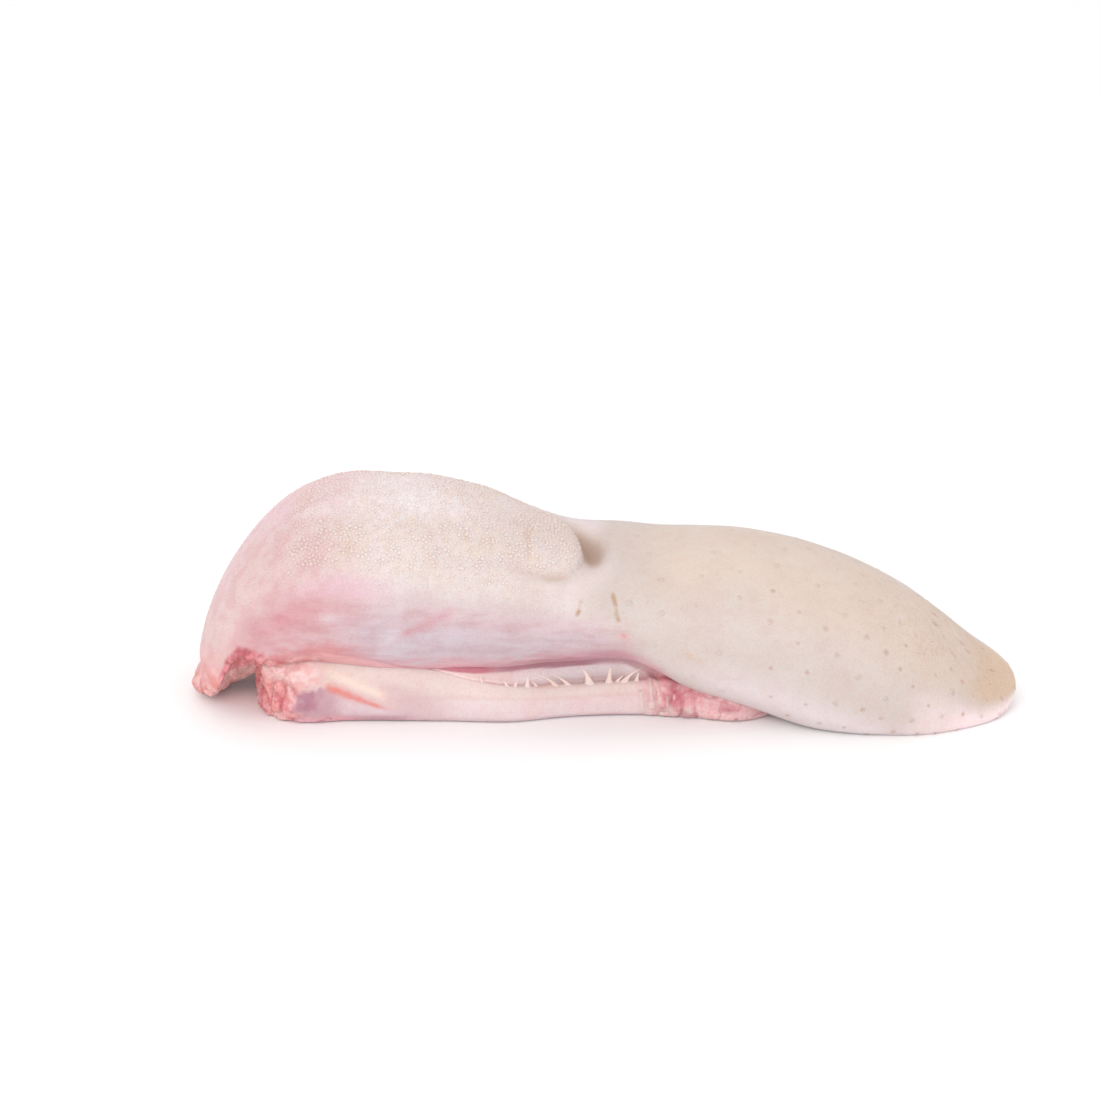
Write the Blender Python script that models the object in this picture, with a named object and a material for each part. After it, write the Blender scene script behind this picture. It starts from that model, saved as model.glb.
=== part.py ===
# Raw beef tongue lying on its underside, root at -X and tip at +X, made as one closed solid.
# Metres, +Z up. The origin is on the surface that it lies on, under the middle of its bounding box.
import math

import bmesh
import bpy
import numpy as np
from mathutils import Matrix

# Ends of the muscle along X. The lip round the root reaches a little further.
ROOT_END = -0.1580
TIP_END = 0.1600
# The finished solid moves by this much, so that its box is centred over the origin.
CENTRING = (0.0002, 0.0007, 0.0)

# Lines along the muscle, as (x, value) stations that a smooth curve joins.
HALF_WIDTH = [(-0.160, 0.0440), (-0.120, 0.0470), (-0.080, 0.0475), (-0.040, 0.0450), (0.0, 0.0400),
              (0.040, 0.0405), (0.080, 0.0415), (0.120, 0.0415), (0.160, 0.0400)]
MIDDLE_Y = [(-0.160, -0.0020), (-0.135, 0.0030), (-0.100, 0.0040), (-0.040, 0.0020), (0.0, -0.0020),
            (0.060, -0.0080), (0.100, -0.0135), (0.130, -0.0155), (0.160, -0.0150)]
TOP_Z = [(-0.160, 0.0790), (-0.125, 0.0785), (-0.105, 0.0780), (-0.085, 0.0762), (-0.065, 0.0755),
         (-0.050, 0.0728), (-0.030, 0.0674), (-0.008, 0.0630), (0.020, 0.0628), (0.060, 0.0638),
         (0.088, 0.0570), (0.115, 0.0440), (0.132, 0.0300), (0.146, 0.0184), (0.160, 0.0130)]
BOTTOM_Z = [(-0.160, 0.0), (-0.146, 0.0020), (-0.128, 0.0140), (-0.112, 0.0190), (-0.085, 0.0180),
            (-0.040, 0.0198), (-0.010, 0.0240), (0.010, 0.0254), (0.021, 0.0200), (0.031, 0.0135),
            (0.046, 0.0080), (0.067, 0.0015), (0.090, -0.0040), (0.120, -0.0070), (0.145, -0.0010),
            (0.160, 0.0020)]
# How far the back leans towards -Y, in degrees.
LEAN = [(-0.160, 4.0), (-0.100, 6.0), (-0.040, 8.0), (0.0, 9.0), (0.060, 12.0), (0.110, 20.0),
        (0.160, 24.0)]

# How the two ends round off: the reach of each dome and the powers of its curves.
ROOT_REACH, ROOT_TOP_POWER, ROOT_SIDE_POWER = 0.064, 1.98, 2.5
ROOT_END_Z, ROOT_BOTTOM_REACH, ROOT_BOTTOM_POWER = 0.0055, 0.010, 2.0
TIP_REACH, TIP_POWER = 0.092, 2.1
TIP_END_Z, TIP_TOP_REACH, TIP_BOTTOM_REACH, TIP_BOTTOM_POWER = 0.0090, 0.030, 0.055, 2.0
# The section is rounder above than below, and its widest line is this share of its height up.
TOP_ROUND, BOTTOM_ROUND, WIDEST_SHARE = 2.15, 2.4, 0.42
# The edge that is left where the surface below cuts the muscle flat blends over this height.
SOFT_EDGE = 0.003

# The raised pad on the rear of the back. Its nose stands clear, and its sides melt away behind.
# Its own edge comes clear of the broad rise behind it between PAD_CLEAR_FROM and PAD_CLEAR_TO.
PAD_RISE = [(-0.160, 0.0075), (-0.060, 0.0075), (-0.030, 0.0058), (0.0, 0.0052)]
PAD_NOSE_X, PAD_NOSE_LENGTH = -0.0078, 0.022
PAD_MIDDLE, PAD_HALF_WIDTH, PAD_REAR_WIDER, PAD_REAR_X = -0.0070, 0.0200, 0.012, -0.100
PAD_POWER, PAD_CROWN_POWER = 2.5, 3.0
PAD_CLEAR_FROM, PAD_CLEAR_TO = -0.048, -0.010
PAD_FADE_FROM, PAD_FADE_TO = -0.080, -0.158
# The pad starts above the widest line, between these two sines of the angle round the section.
UPPER_FROM, UPPER_TO = -0.05, 0.25

# The hollow in front of the pad's nose. It fades in from FRONT_FROM to FRONT_TO, as the nose's edge turns
# from the side, 0, to straight ahead, 1.
HOLLOW_DEPTH, HOLLOW_AHEAD, HOLLOW_WIDE = 0.0068, 0.0038, 0.0056
HOLLOW_MIDDLE, HOLLOW_LONG = -0.0010, 0.0140
FRONT_FROM, FRONT_TO = 0.45, 0.95
# The shallow groove that runs on from the hollow, back along the nose's sides.
GROOVE_DEPTH, GROOVE_AHEAD, GROOVE_WIDE = 0.0010, 0.0010, 0.0018

# The arch under the root's near side, with its height along X and its depth in Y.
ARCH_Z = [(-0.160, 0.0055), (-0.149, 0.0065), (-0.1440, 0.0180), (-0.139, 0.0262), (-0.133, 0.0262),
          (-0.126, 0.0220), (-0.117, 0.0185), (-0.104, 0.0160), (-0.088, 0.0)]
ARCH_NEAR_Y, ARCH_FAR_Y = -0.027, 0.003
# The root's lower rim turns out as a lip, with a pinch above it.
LIP_FROM, LIP_TO = -0.150, -0.158
LIP_OUT, LIP_Z, LIP_TALL = 0.0022, 0.0035, 0.0060
LIP_UNEVEN, LIP_WAVE = 0.35, 0.0021
PINCH_IN, PINCH_Z, PINCH_TALL = 0.0018, 0.0135, 0.0040

# Slow unevenness of the muscle's surface, as its height at the widest place.
UNEVEN = 0.0005
UNEVEN_WAVES = [(0.071, 2, 0.4), (0.043, 3, 2.1), (0.029, 5, 4.0)]

# The softer tissue under the muscle: a strip with a ridge on each side and a recess above it.
UNDER_START, UNDER_END = -0.1345, 0.074
UNDER_START_REACH, UNDER_START_POWER = 0.010, 2.8
UNDER_END_REACH, UNDER_END_POWER = 0.030, 2.0
UNDER_HALF = [(-0.134, 0.0310), (-0.117, 0.0410), (-0.098, 0.0395), (-0.060, 0.0385), (-0.035, 0.0380),
              (-0.010, 0.0312), (0.015, 0.0285), (0.035, 0.0300), (0.055, 0.0330), (0.074, 0.0300)]
UNDER_MIDDLE_Y = [(-0.134, 0.0040), (-0.060, 0.0020), (0.0, -0.0010), (0.040, -0.0040), (0.074, -0.0060)]
RIDGE_Z = [(-0.134, 0.0180), (-0.117, 0.0220), (-0.070, 0.0215), (-0.048, 0.0160), (-0.020, 0.0130),
           (0.010, 0.0135), (0.030, 0.0150), (0.074, 0.0100)]
RECESS = [(-0.134, 0.0), (-0.070, 0.0), (-0.048, 0.0015), (-0.032, 0.0042), (-0.020, 0.0060),
          (0.010, 0.0060), (0.025, 0.0020), (0.074, 0.0)]
# Half a section from the middle of the base round to the middle of the top, as rows of
# (share of the half width, inset, share of the recess, share of the ridge height, height above that).
UNDER_ROWS = [(0, 0.0, 0, 0, 0.0), (0.5, 0.0, 0, 0, 0.0), (1, 0.0045, 0, 0, 0.0), (1, 0.0008, 0, 0.10, 0.0),
              (1, 0.0, 0, 0.35, 0.0), (1, 0.0012, 0, 0.72, 0.0), (1, 0.0035, 0, 1, 0.0),
              (1, 0.0055, 0.6, 1, 0.0004), (1, 0.0060, 1, 1, 0.0040), (1, 0.0085, 1, 0, 0.0260),
              (1, 0.0200, 0, 0, 0.0310), (0, 0.0, 0, 0, 0.0320)]
# At its ends the tissue still has this share of its height.
UNDER_END_SHARE = 0.25
# Ragged relief of the strip's two raw ends.
RAGGED = 0.0012
RAGGED_WAVES = [(0.0135, 3, 0.9), (0.0085, 5, 2.7), (0.0058, 8, 4.4)]
RAW_ROOT_FROM, RAW_ROOT_TO = -0.108, -0.122
RAW_FRONT_FROM, RAW_FRONT_TO = 0.010, 0.024

# Pointed papillae along each ridge, small at the rear and tall in front.
CONES_A_SIDE = 10
CONE_FIRST_X, CONE_LAST_X, CONE_X_JITTER = -0.0475, 0.0130, 0.0008
CONE_SHORT, CONE_TALL, CONE_TALLEST_X, CONE_TALL_SPREAD = 0.0030, 0.0070, -0.002, 0.024
CONE_LEAST_SHARE = 0.85
CONE_SLIMNESS, CONE_TAPER, CONE_TIP = 0.27, 0.75, 0.0003
CONE_INSET, CONE_SUNK = 0.0042, 0.0022
# Degrees that the first and last lean back and ahead, the random part of it, and how far all lean out.
CONE_LEAN_ALONG, CONE_LEAN_JITTER, CONE_LEAN_OUT = 32.0, 8.0, 16.0
CONE_CURL = 0.25
CONE_TOP_RING = 0.86

# Lobes of fat and torn tissue on each side: (middle x, half spread, middle z, half spread, how many).
LOBES = [(-0.1235, 0.0085, 0.0115, 0.0085, 9), (0.0320, 0.0190, 0.0080, 0.0055, 10)]
LOBE_SMALL, LOBE_LARGE = 0.0026, 0.0048
LOBE_LENGTHS, LOBE_HEIGHTS, LOBE_TURN = (0.9, 1.4), (0.6, 0.9), 0.6
LOBE_SUNK, LOBE_LOWEST = 0.62, 0.0002

# Fineness of the meshes. Sections gather at the ends, where the last one stands this gap inside the pole.
END_GAP, END_CROWD, FINE_STEPS = 0.0004, 0.020, 6001
# A crowd is (place along x, spread, how much closer).
MUSCLE_SECTIONS, MUSCLE_POINTS, MUSCLE_CROWDS = 68, 48, [(PAD_NOSE_X, 0.014, 1.6), (-0.142, 0.012, 0.8)]
UNDER_SECTIONS, UNDER_POINTS, UNDER_CROWDS = 42, 28, [(-0.125, 0.010, 0.6)]
CONE_RINGS, CONE_SIDES = 3, 6
LOBE_SIDES, LOBE_RINGS = 7, 5
SEED = 7


def smooth_line(x, stations):
    # Cubic curve through the stations, with each slope taken from the neighbours.
    places, values = np.array(stations, float).T
    slopes = np.gradient(values, places)
    x = np.clip(x, places[0], places[-1])
    i = np.clip(np.searchsorted(places, x, side="right") - 1, 0, len(places) - 2)
    gap = places[i + 1] - places[i]
    t = (x - places[i]) / gap
    rise = (3 - 2 * t) * t * t
    leave = (t - 2) * t * t + t
    arrive = (t - 1) * t * t
    line = values[i] + (values[i + 1] - values[i]) * rise
    return line + (leave * slopes[i] + arrive * slopes[i + 1]) * gap


def step(start, end, x):
    t = np.clip((x - start) / (end - start), 0, 1)
    return t * t * (3 - 2 * t)


def dome(t, power):
    # 1 up to t = 0, then down to 0 at t = 1 along a rounded end.
    return (1 - np.clip(t, 0, 1) ** power) ** (1 / power)


def bump(x, middle, spread):
    return np.exp(-(((x - middle) / spread) ** 2))


def soft_max(a, b, blend):
    share = np.clip(0.5 + 0.5 * (a - b) / blend, 0, 1)
    return b + (a - b) * share + blend * share * (1 - share)


def waves(x, around, parts):
    # Uneven relief between -1 and 1, from sine waves along x and round the section.
    total = 0
    for length, turns, phase in parts:
        total = total + np.sin(2 * math.pi * x / length + phase) * np.sin(turns * around + 2 * phase)
    return total / len(parts)


def gathered(count, first, last, crowds):
    # Places from first to last, closer together near both ends and near each crowd.
    fine = np.linspace(first + END_GAP, last - END_GAP, FINE_STEPS)
    end_gap = np.minimum(fine - first, last - fine)
    density = 1 + np.sqrt(END_CROWD / end_gap)
    for place, spread, strength in crowds:
        density = density + strength * bump(fine, place, spread)
    total = np.concatenate([[0], np.cumsum(density[1:] + density[:-1])])
    return np.interp(np.linspace(0, 1, count), total / total[-1], fine)


def pad_and_hollow(x, across, half, sine):
    # The pad's crown ends in a rounded nose. Behind, a broad rise of the whole back takes its place.
    nose_start = PAD_NOSE_X - PAD_NOSE_LENGTH
    wide = PAD_HALF_WIDTH + PAD_REAR_WIDER * step(nose_start, PAD_REAR_X, x)
    along = np.maximum(x - nose_start, 0) / PAD_NOSE_LENGTH
    aside = np.abs((across - PAD_MIDDLE) / wide)
    radius = (along**PAD_POWER + aside**PAD_POWER) ** (1 / PAD_POWER)
    crown = dome(radius, PAD_CROWN_POWER)
    broad = 1 - (across / half) ** 2
    clear = step(PAD_CLEAR_FROM, PAD_CLEAR_TO, x)
    upper = step(UPPER_FROM, UPPER_TO, sine)
    pad = (broad + (crown - broad) * clear) * upper * (1 - step(PAD_FADE_FROM, PAD_FADE_TO, x))
    ahead = (radius - 1.0) * PAD_NOSE_LENGTH
    front = step(FRONT_FROM, FRONT_TO, along / radius)
    hollow = bump(ahead, HOLLOW_AHEAD, HOLLOW_WIDE) * front * bump(across, HOLLOW_MIDDLE, HOLLOW_LONG)
    groove = bump(ahead, GROOVE_AHEAD, GROOVE_WIDE) * clear * (1 - front)
    return smooth_line(x, PAD_RISE) * pad - (HOLLOW_DEPTH * hollow + GROOVE_DEPTH * groove) * upper


def muscle_points():
    places = gathered(MUSCLE_SECTIONS, ROOT_END, TIP_END, MUSCLE_CROWDS)
    angles = np.linspace(-math.pi, math.pi, MUSCLE_POINTS, endpoint=False)
    x, angle = np.meshgrid(places, angles, indexing="ij")
    root = (ROOT_END + ROOT_REACH - x) / ROOT_REACH
    tip = (x - TIP_END + TIP_REACH) / TIP_REACH
    half = smooth_line(x, HALF_WIDTH) * dome(root, ROOT_SIDE_POWER) * dome(tip, TIP_POWER)
    # The top and bottom lines close on one height at each end.
    top = ROOT_END_Z + (smooth_line(x, TOP_Z) - ROOT_END_Z) * dome(root, ROOT_TOP_POWER)
    root_low = (ROOT_END + ROOT_BOTTOM_REACH - x) / ROOT_BOTTOM_REACH
    bottom = ROOT_END_Z + (smooth_line(x, BOTTOM_Z) - ROOT_END_Z) * dome(root_low, ROOT_BOTTOM_POWER)
    top = TIP_END_Z + (top - TIP_END_Z) * dome((x - TIP_END) / TIP_TOP_REACH + 1, TIP_POWER)
    tip_low = (x - TIP_END) / TIP_BOTTOM_REACH + 1
    bottom = TIP_END_Z + (bottom - TIP_END_Z) * dome(tip_low, TIP_BOTTOM_POWER)
    middle = bottom + WIDEST_SHARE * (top - bottom)
    cosine, sine = np.cos(angle), np.sin(angle)
    power = np.where(sine >= 0, TOP_ROUND, BOTTOM_ROUND)
    ray = (np.abs(cosine) ** power + np.abs(sine) ** power) ** (-1 / power)
    across = half * ray * cosine
    height = np.where(sine >= 0, top - middle, middle - bottom) * ray * sine
    height = height + pad_and_hollow(x, across, half, sine)
    swell = 1 + UNEVEN * waves(x, angle, UNEVEN_WAVES) / half.max()
    lean = np.radians(smooth_line(x, LEAN))
    y = smooth_line(x, MIDDLE_Y) + (across * np.cos(lean) - height * np.sin(lean)) * swell
    z = middle + (across * np.sin(lean) + height * np.cos(lean)) * swell
    # The underside is cut by the arch and by the surface that it lies on.
    under_near_side = 1 - step(ARCH_NEAR_Y, ARCH_FAR_Y, y)
    z = soft_max(z, np.maximum(smooth_line(x, ARCH_Z) * under_near_side, 0.0), SOFT_EDGE)
    at_root = step(LIP_FROM, LIP_TO, x)
    lip = LIP_OUT * bump(z, LIP_Z, LIP_TALL) * (1 + LIP_UNEVEN * np.sin(y / LIP_WAVE))
    pinch = PINCH_IN * bump(z, PINCH_Z, PINCH_TALL)
    return np.stack([x - (lip - pinch) * at_root, y, z], axis=-1)


def under_section(x):
    # The corner rows of half a section at each x, as distances out and up.
    wide, ridge, recess = smooth_line(x, UNDER_HALF), smooth_line(x, RIDGE_Z), smooth_line(x, RECESS)
    return np.array([(share * wide - inset - recess_share * recess, ridge_share * ridge + height)
                     for share, inset, recess_share, ridge_share, height in UNDER_ROWS])


def under_start(x):
    return dome((UNDER_START + UNDER_START_REACH - x) / UNDER_START_REACH, UNDER_START_POWER)


def under_points():
    places = gathered(UNDER_SECTIONS, UNDER_START, UNDER_END, UNDER_CROWDS)
    turns = np.linspace(0, 2, UNDER_POINTS, endpoint=False)
    x, turn = np.meshgrid(places, turns, indexing="ij")
    rows = under_section(x)
    last = len(rows) - 1
    # The rows are joined by a smooth curve, read at a share of its whole length.
    share = np.where(turn <= 1, turn, 2 - turn) * last
    i = np.clip(share.astype(int), 0, last - 1)
    t = share - i
    pick = [np.take_along_axis(rows, np.clip(i + k, 0, last)[None, None], 0)[0] for k in (-1, 0, 1, 2)]
    leave, arrive = (pick[2] - pick[0]) / 2, (pick[3] - pick[1]) / 2
    rise = (3 - 2 * t) * t * t
    curve = leave * ((t - 2) * t * t + t) + arrive * ((t - 1) * t * t)
    out, up = pick[1] + (pick[2] - pick[1]) * rise + curve
    ends = under_start(x) * dome((x - UNDER_END) / UNDER_END_REACH + 1, UNDER_END_POWER)
    raw = step(RAW_ROOT_FROM, RAW_ROOT_TO, x) + step(RAW_FRONT_FROM, RAW_FRONT_TO, x)
    ragged = RAGGED * raw * waves(x, math.pi * turn, RAGGED_WAVES)
    side = np.where(turn <= 1, -1.0, 1.0)
    y = smooth_line(x, UNDER_MIDDLE_Y) + side * (out + ragged) * ends
    z = np.maximum(up, 0) * (UNDER_END_SHARE + (1 - UNDER_END_SHARE) * ends)
    return np.stack([x, y, z], axis=-1)


def closed_loft(name, sections, reach):
    # Rings joined by four-sided faces, with a pole at each end, this reach past the middle of the end ring.
    rings, points = sections.shape[:2]
    first, last = sections[0].mean(axis=0) - reach, sections[-1].mean(axis=0) + reach
    corners = [tuple(point) for point in sections.reshape(-1, 3)] + [tuple(first), tuple(last)]
    root_pole, tip_pole = rings * points, rings * points + 1
    faces = []
    for j in range(points):
        k = (j + 1) % points
        faces.append((root_pole, j, k))
        faces.append((tip_pole, (rings - 1) * points + k, (rings - 1) * points + j))
        for i in range(rings - 1):
            faces.append((i * points + j, (i + 1) * points + j, (i + 1) * points + k, i * points + k))
    mesh = bpy.data.meshes.new(name)
    mesh.from_pydata(corners, [], faces)
    face_outwards(mesh)
    return mesh


def face_outwards(mesh):
    form = bmesh.new()
    form.from_mesh(mesh)
    bmesh.ops.recalc_face_normals(form, faces=form.faces)
    form.to_mesh(mesh)
    form.free()


def cone_mesh(name, foot, height, lean_along, lean_out, side):
    # A slim horn that tapers to a point and curls further the way it leans.
    rise = np.linspace(-CONE_SUNK, height * CONE_TOP_RING, CONE_RINGS)
    share = np.clip(rise / height, 0, 1)
    radius = CONE_SLIMNESS * height * (1 - share) ** CONE_TAPER + CONE_TIP
    turn = np.linspace(0, 2 * math.pi, CONE_SIDES, endpoint=False)
    bend = share * (1 + CONE_CURL * share) * height
    x = foot[0] + math.tan(lean_along) * bend[:, None] + radius[:, None] * np.cos(turn)
    y = foot[1] + side * math.tan(lean_out) * bend[:, None] + radius[:, None] * np.sin(turn)
    z = foot[2] + rise[:, None] + 0 * turn
    point_reach = np.array((0.0, 0.0, height * (1 - CONE_TOP_RING)))
    return closed_loft(name, np.stack([x, y, z], axis=-1), point_reach)


def cone_meshes(rng):
    made = []
    for side in (-1, 1):
        for i in range(CONES_A_SIDE):
            share = i / (CONES_A_SIDE - 1)
            x = CONE_FIRST_X + (CONE_LAST_X - CONE_FIRST_X) * share + rng.uniform(-1, 1) * CONE_X_JITTER
            tallness = bump(x, CONE_TALLEST_X, CONE_TALL_SPREAD) * rng.uniform(CONE_LEAST_SHARE, 1.0)
            height = CONE_SHORT + (CONE_TALL - CONE_SHORT) * tallness
            jitter = rng.uniform(-1, 1) * CONE_LEAN_JITTER
            lean_along = math.radians(CONE_LEAN_ALONG * (2 * share - 1) + jitter)
            out = smooth_line(x, UNDER_HALF) - CONE_INSET
            foot = (x, smooth_line(x, UNDER_MIDDLE_Y) + side * out, smooth_line(x, RIDGE_Z))
            name = f"cone_{'near' if side < 0 else 'far'}_{i}"
            made.append(cone_mesh(name, foot, height, lean_along, math.radians(CONE_LEAN_OUT), side))
    return made


def lobe_mesh(name, centre, radii, turn):
    form = bmesh.new()
    bmesh.ops.create_uvsphere(form, u_segments=LOBE_SIDES, v_segments=LOBE_RINGS, radius=1.0)
    bmesh.ops.scale(form, vec=radii, verts=form.verts)
    spin = np.array([[math.cos(turn), -math.sin(turn)], [math.sin(turn), math.cos(turn)]])
    for corner in form.verts:
        aside, up = spin @ np.array([corner.co.x, corner.co.z])
        corner.co = (centre[0] + aside, centre[1] + corner.co.y, max(centre[2] + up, LOBE_LOWEST))
    mesh = bpy.data.meshes.new(name)
    form.to_mesh(mesh)
    form.free()
    return mesh


def lobe_meshes(rng):
    made = []
    for group, (middle_x, spread_x, middle_z, spread_z, count) in enumerate(LOBES):
        for side in (-1, 1):
            for i in range(count):
                x = middle_x + rng.uniform(-spread_x, spread_x)
                z = middle_z + rng.uniform(-spread_z, spread_z)
                size = rng.uniform(LOBE_SMALL, LOBE_LARGE)
                radii = (size * rng.uniform(*LOBE_LENGTHS), size, size * rng.uniform(*LOBE_HEIGHTS))
                out = smooth_line(x, UNDER_HALF) * under_start(x) - LOBE_SUNK * size
                centre = (x, smooth_line(x, UNDER_MIDDLE_Y) + side * out, z)
                turn = rng.uniform(-LOBE_TURN, LOBE_TURN)
                made.append(lobe_mesh(f"lobe_{group}_{side}_{i}", centre, radii, turn))
    return made


def flesh_material():
    material = bpy.data.materials.new("raw_tongue")
    material.use_nodes = True
    shader = material.node_tree.nodes["Principled BSDF"]
    shader.inputs["Base Color"].default_value = (0.76, 0.60, 0.56, 1.0)
    shader.inputs["Roughness"].default_value = 0.45
    shader.inputs["Metallic"].default_value = 0.0
    return material


def placed(mesh, collection):
    thing = bpy.data.objects.new(mesh.name, mesh)
    collection.objects.link(thing)
    return thing


def join_all(body, meshes):
    # One Boolean union of the body with everything in the collection, applied to the body's mesh.
    added = bpy.data.collections.new("added")
    bpy.context.scene.collection.children.link(added)
    for mesh in meshes:
        placed(mesh, added)
    union = body.modifiers.new("union", "BOOLEAN")
    union.operation = "UNION"
    union.solver = "EXACT"
    union.use_self = True
    union.operand_type = "COLLECTION"
    union.collection = added
    graph = bpy.context.evaluated_depsgraph_get()
    joined = bpy.data.meshes.new_from_object(body.evaluated_get(graph))
    body.modifiers.clear()
    body.data = joined
    for thing in list(added.objects):
        bpy.data.objects.remove(thing)
    bpy.data.collections.remove(added)


def main():
    for thing in list(bpy.data.objects):
        bpy.data.objects.remove(thing)
    rng = np.random.default_rng(SEED)
    end_reach = np.array((END_GAP, 0.0, 0.0))
    tongue = placed(closed_loft("beef_tongue", muscle_points(), end_reach), bpy.context.scene.collection)
    under = closed_loft("under_tissue", under_points(), end_reach)
    join_all(tongue, [under] + cone_meshes(rng) + lobe_meshes(rng))
    tongue.data.transform(Matrix.Translation(CENTRING))
    tongue.data.materials.clear()
    tongue.data.materials.append(flesh_material())
    tongue.data.shade_smooth()


main()
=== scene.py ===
# Looks of a raw beef tongue that lies on its underside, root at -X and tip at +X. Metres, +Z up.
import math

import bpy
import numpy as np
from mathutils import Matrix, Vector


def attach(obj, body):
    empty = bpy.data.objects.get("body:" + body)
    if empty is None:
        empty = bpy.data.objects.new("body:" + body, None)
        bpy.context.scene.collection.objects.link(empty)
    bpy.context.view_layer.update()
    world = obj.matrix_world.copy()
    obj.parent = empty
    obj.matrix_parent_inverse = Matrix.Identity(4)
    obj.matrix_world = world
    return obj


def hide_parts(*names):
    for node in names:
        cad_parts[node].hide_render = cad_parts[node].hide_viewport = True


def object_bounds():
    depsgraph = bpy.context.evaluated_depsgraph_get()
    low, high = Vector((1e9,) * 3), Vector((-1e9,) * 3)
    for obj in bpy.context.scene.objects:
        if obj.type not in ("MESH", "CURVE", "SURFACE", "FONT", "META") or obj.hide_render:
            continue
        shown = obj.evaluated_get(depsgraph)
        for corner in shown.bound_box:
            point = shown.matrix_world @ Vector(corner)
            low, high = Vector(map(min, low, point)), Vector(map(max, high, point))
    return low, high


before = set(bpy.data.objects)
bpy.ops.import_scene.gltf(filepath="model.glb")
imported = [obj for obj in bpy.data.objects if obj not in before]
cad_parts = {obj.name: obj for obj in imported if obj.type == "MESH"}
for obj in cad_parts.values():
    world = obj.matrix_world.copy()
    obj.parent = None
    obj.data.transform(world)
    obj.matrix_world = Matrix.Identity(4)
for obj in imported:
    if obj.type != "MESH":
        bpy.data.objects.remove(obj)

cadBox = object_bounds()
print("frame loaded")


def ink(red, green, blue):
    # Screen colour, 0 to 255, as linear light: ((c + 0.055) / 1.055) ^ 2.4, or c / 12.92 where dark.
    c = np.array((red, green, blue)) / 255
    return np.where(c > 0.04045, ((c + 0.055) / 1.055) ** 2.4, c / 12.92)


def lineOf(x, stations):
    # The smooth line through stations in millimetres, in metres.
    return smoothLine(x * 1000, stations) / 1000


def smoothLine(x, stations):
    # Cubic through (place, value) stations, with each slope taken from the neighbours.
    places, values = np.array(stations, float).T
    slopes = np.gradient(values, places)
    x = np.clip(x, places[0], places[-1])
    i = np.clip(np.searchsorted(places, x, side="right") - 1, 0, len(places) - 2)
    gap = places[i + 1] - places[i]
    t = (x - places[i]) / gap
    line = values[i] + (values[i + 1] - values[i]) * (3 - 2 * t) * t * t
    return line + (((t - 2) * t * t + t) * slopes[i] + (t - 1) * t * t * slopes[i + 1]) * gap


def step(start, end, x):
    # (3 - 2t) t^2, with t from 0 at start to 1 at end.
    t = np.clip((x - start) / (end - start), 0, 1)
    return t * t * (3 - 2 * t)


def dome(t, power):
    # (1 - t^p)^(1/p): 1 up to t = 0, then down to 0 at t = 1 along a rounded end.
    return (1 - np.clip(t, 0, 1) ** power) ** (1 / power)


def bump(x, middle, spread):
    # exp(-((x - middle) / spread)^2)
    return np.exp(-(((x - middle) / spread) ** 2))


def softMax(a, b, blend):
    # The larger of a and b, rounded where they differ by less than blend.
    share = np.clip(0.5 + 0.5 * (a - b) / blend, 0, 1)
    return b + (a - b) * share + blend * share * (1 - share)


def waves(x, around, parts):
    # Mean of sin(2 pi x / length + phase) sin(turns around + 2 phase).
    total = 0
    for length, turns, phase in parts:
        total = total + np.sin(2 * math.pi * x / length + phase) * np.sin(turns * around + 2 * phase)
    return total / len(parts)


def cloud(points, size, seed):
    # Smooth noise from -1 to 1: random values on a lattice of this size, joined by (3 - 2t) t^2.
    table = np.random.default_rng(seed).uniform(-1, 1, (32, 32, 32))
    cell = points / size + 160
    low = np.floor(cell).astype(int)
    part = cell - low
    part = part * part * (3 - 2 * part)
    total = 0
    for corner in np.ndindex(2, 2, 2):
        weight = np.prod(np.where(corner, part, 1 - part), axis=-1)
        at = (low + corner) % 32
        total = total + weight * table[at[..., 0], at[..., 1], at[..., 2]]
    return total


def lumped(points, size, seed):
    # Rounded lumps, from 0 in the soft creases between them: 1 - exp(-(noise / 0.3)^2).
    return 1 - np.exp(-((cloud(points, size, seed) / 0.3) ** 2))


def gathered(count, first, last, crowds, endGap, endCrowd):
    # Places whose closeness is 1 + sqrt(endCrowd / distance to the end) + strength * bump at each crowd.
    fine = np.linspace(first + endGap, last - endGap, 6001)
    density = 1 + np.sqrt(endCrowd / np.minimum(fine - first, last - fine))
    for place, spread, strength in crowds:
        density = density + strength * bump(fine, place, spread)
    total = np.concatenate([[0], np.cumsum(density[1:] + density[:-1])])
    return np.interp(np.linspace(0, 1, count), total / total[-1], fine)


def paint(tint, colour, mask):
    # tint + (colour - tint) * mask
    return tint + (colour - tint) * np.clip(mask, 0, 1)[..., None]


def valueOf(factor, fields):
    # A function of the fields, step(start, end, field) from (field, start, end), a field, or a number.
    if callable(factor):
        return factor(fields)
    if isinstance(factor, tuple):
        name, start, end = factor
        return step(start, end, fields[name])
    return fields[factor] if isinstance(factor, str) else factor


def mix(base=0, /, **parts):
    # base + the sum of amount * field
    return lambda fields: base + sum(amount * fields[key] for key, amount in parts.items())


def edge(start, end, low=0, high=1, /, **parts):
    # low + (high - low) * step(start, end, the sum of amount * field)
    return lambda fields: low + (high - low) * step(start, end, mix(**parts)(fields))


def spot(power=1, /, **spans):
    # exp(-(the sum of ((field - middle) / spread)^2)^power)
    return lambda fields: np.exp(-sum(
        ((fields[key] - valueOf(middle, fields)) / valueOf(spread, fields)) ** 2
        for key, (middle, spread) in spans.items()) ** power)


def product(factors, fields):
    # All factors multiplied.
    total = 1
    for factor in factors:
        total = total * valueOf(factor, fields)
    return total


def plus(*rows):
    # The sum of the products of some rows of factors.
    return lambda fields: sum(product(row, fields) for row in rows)


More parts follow.
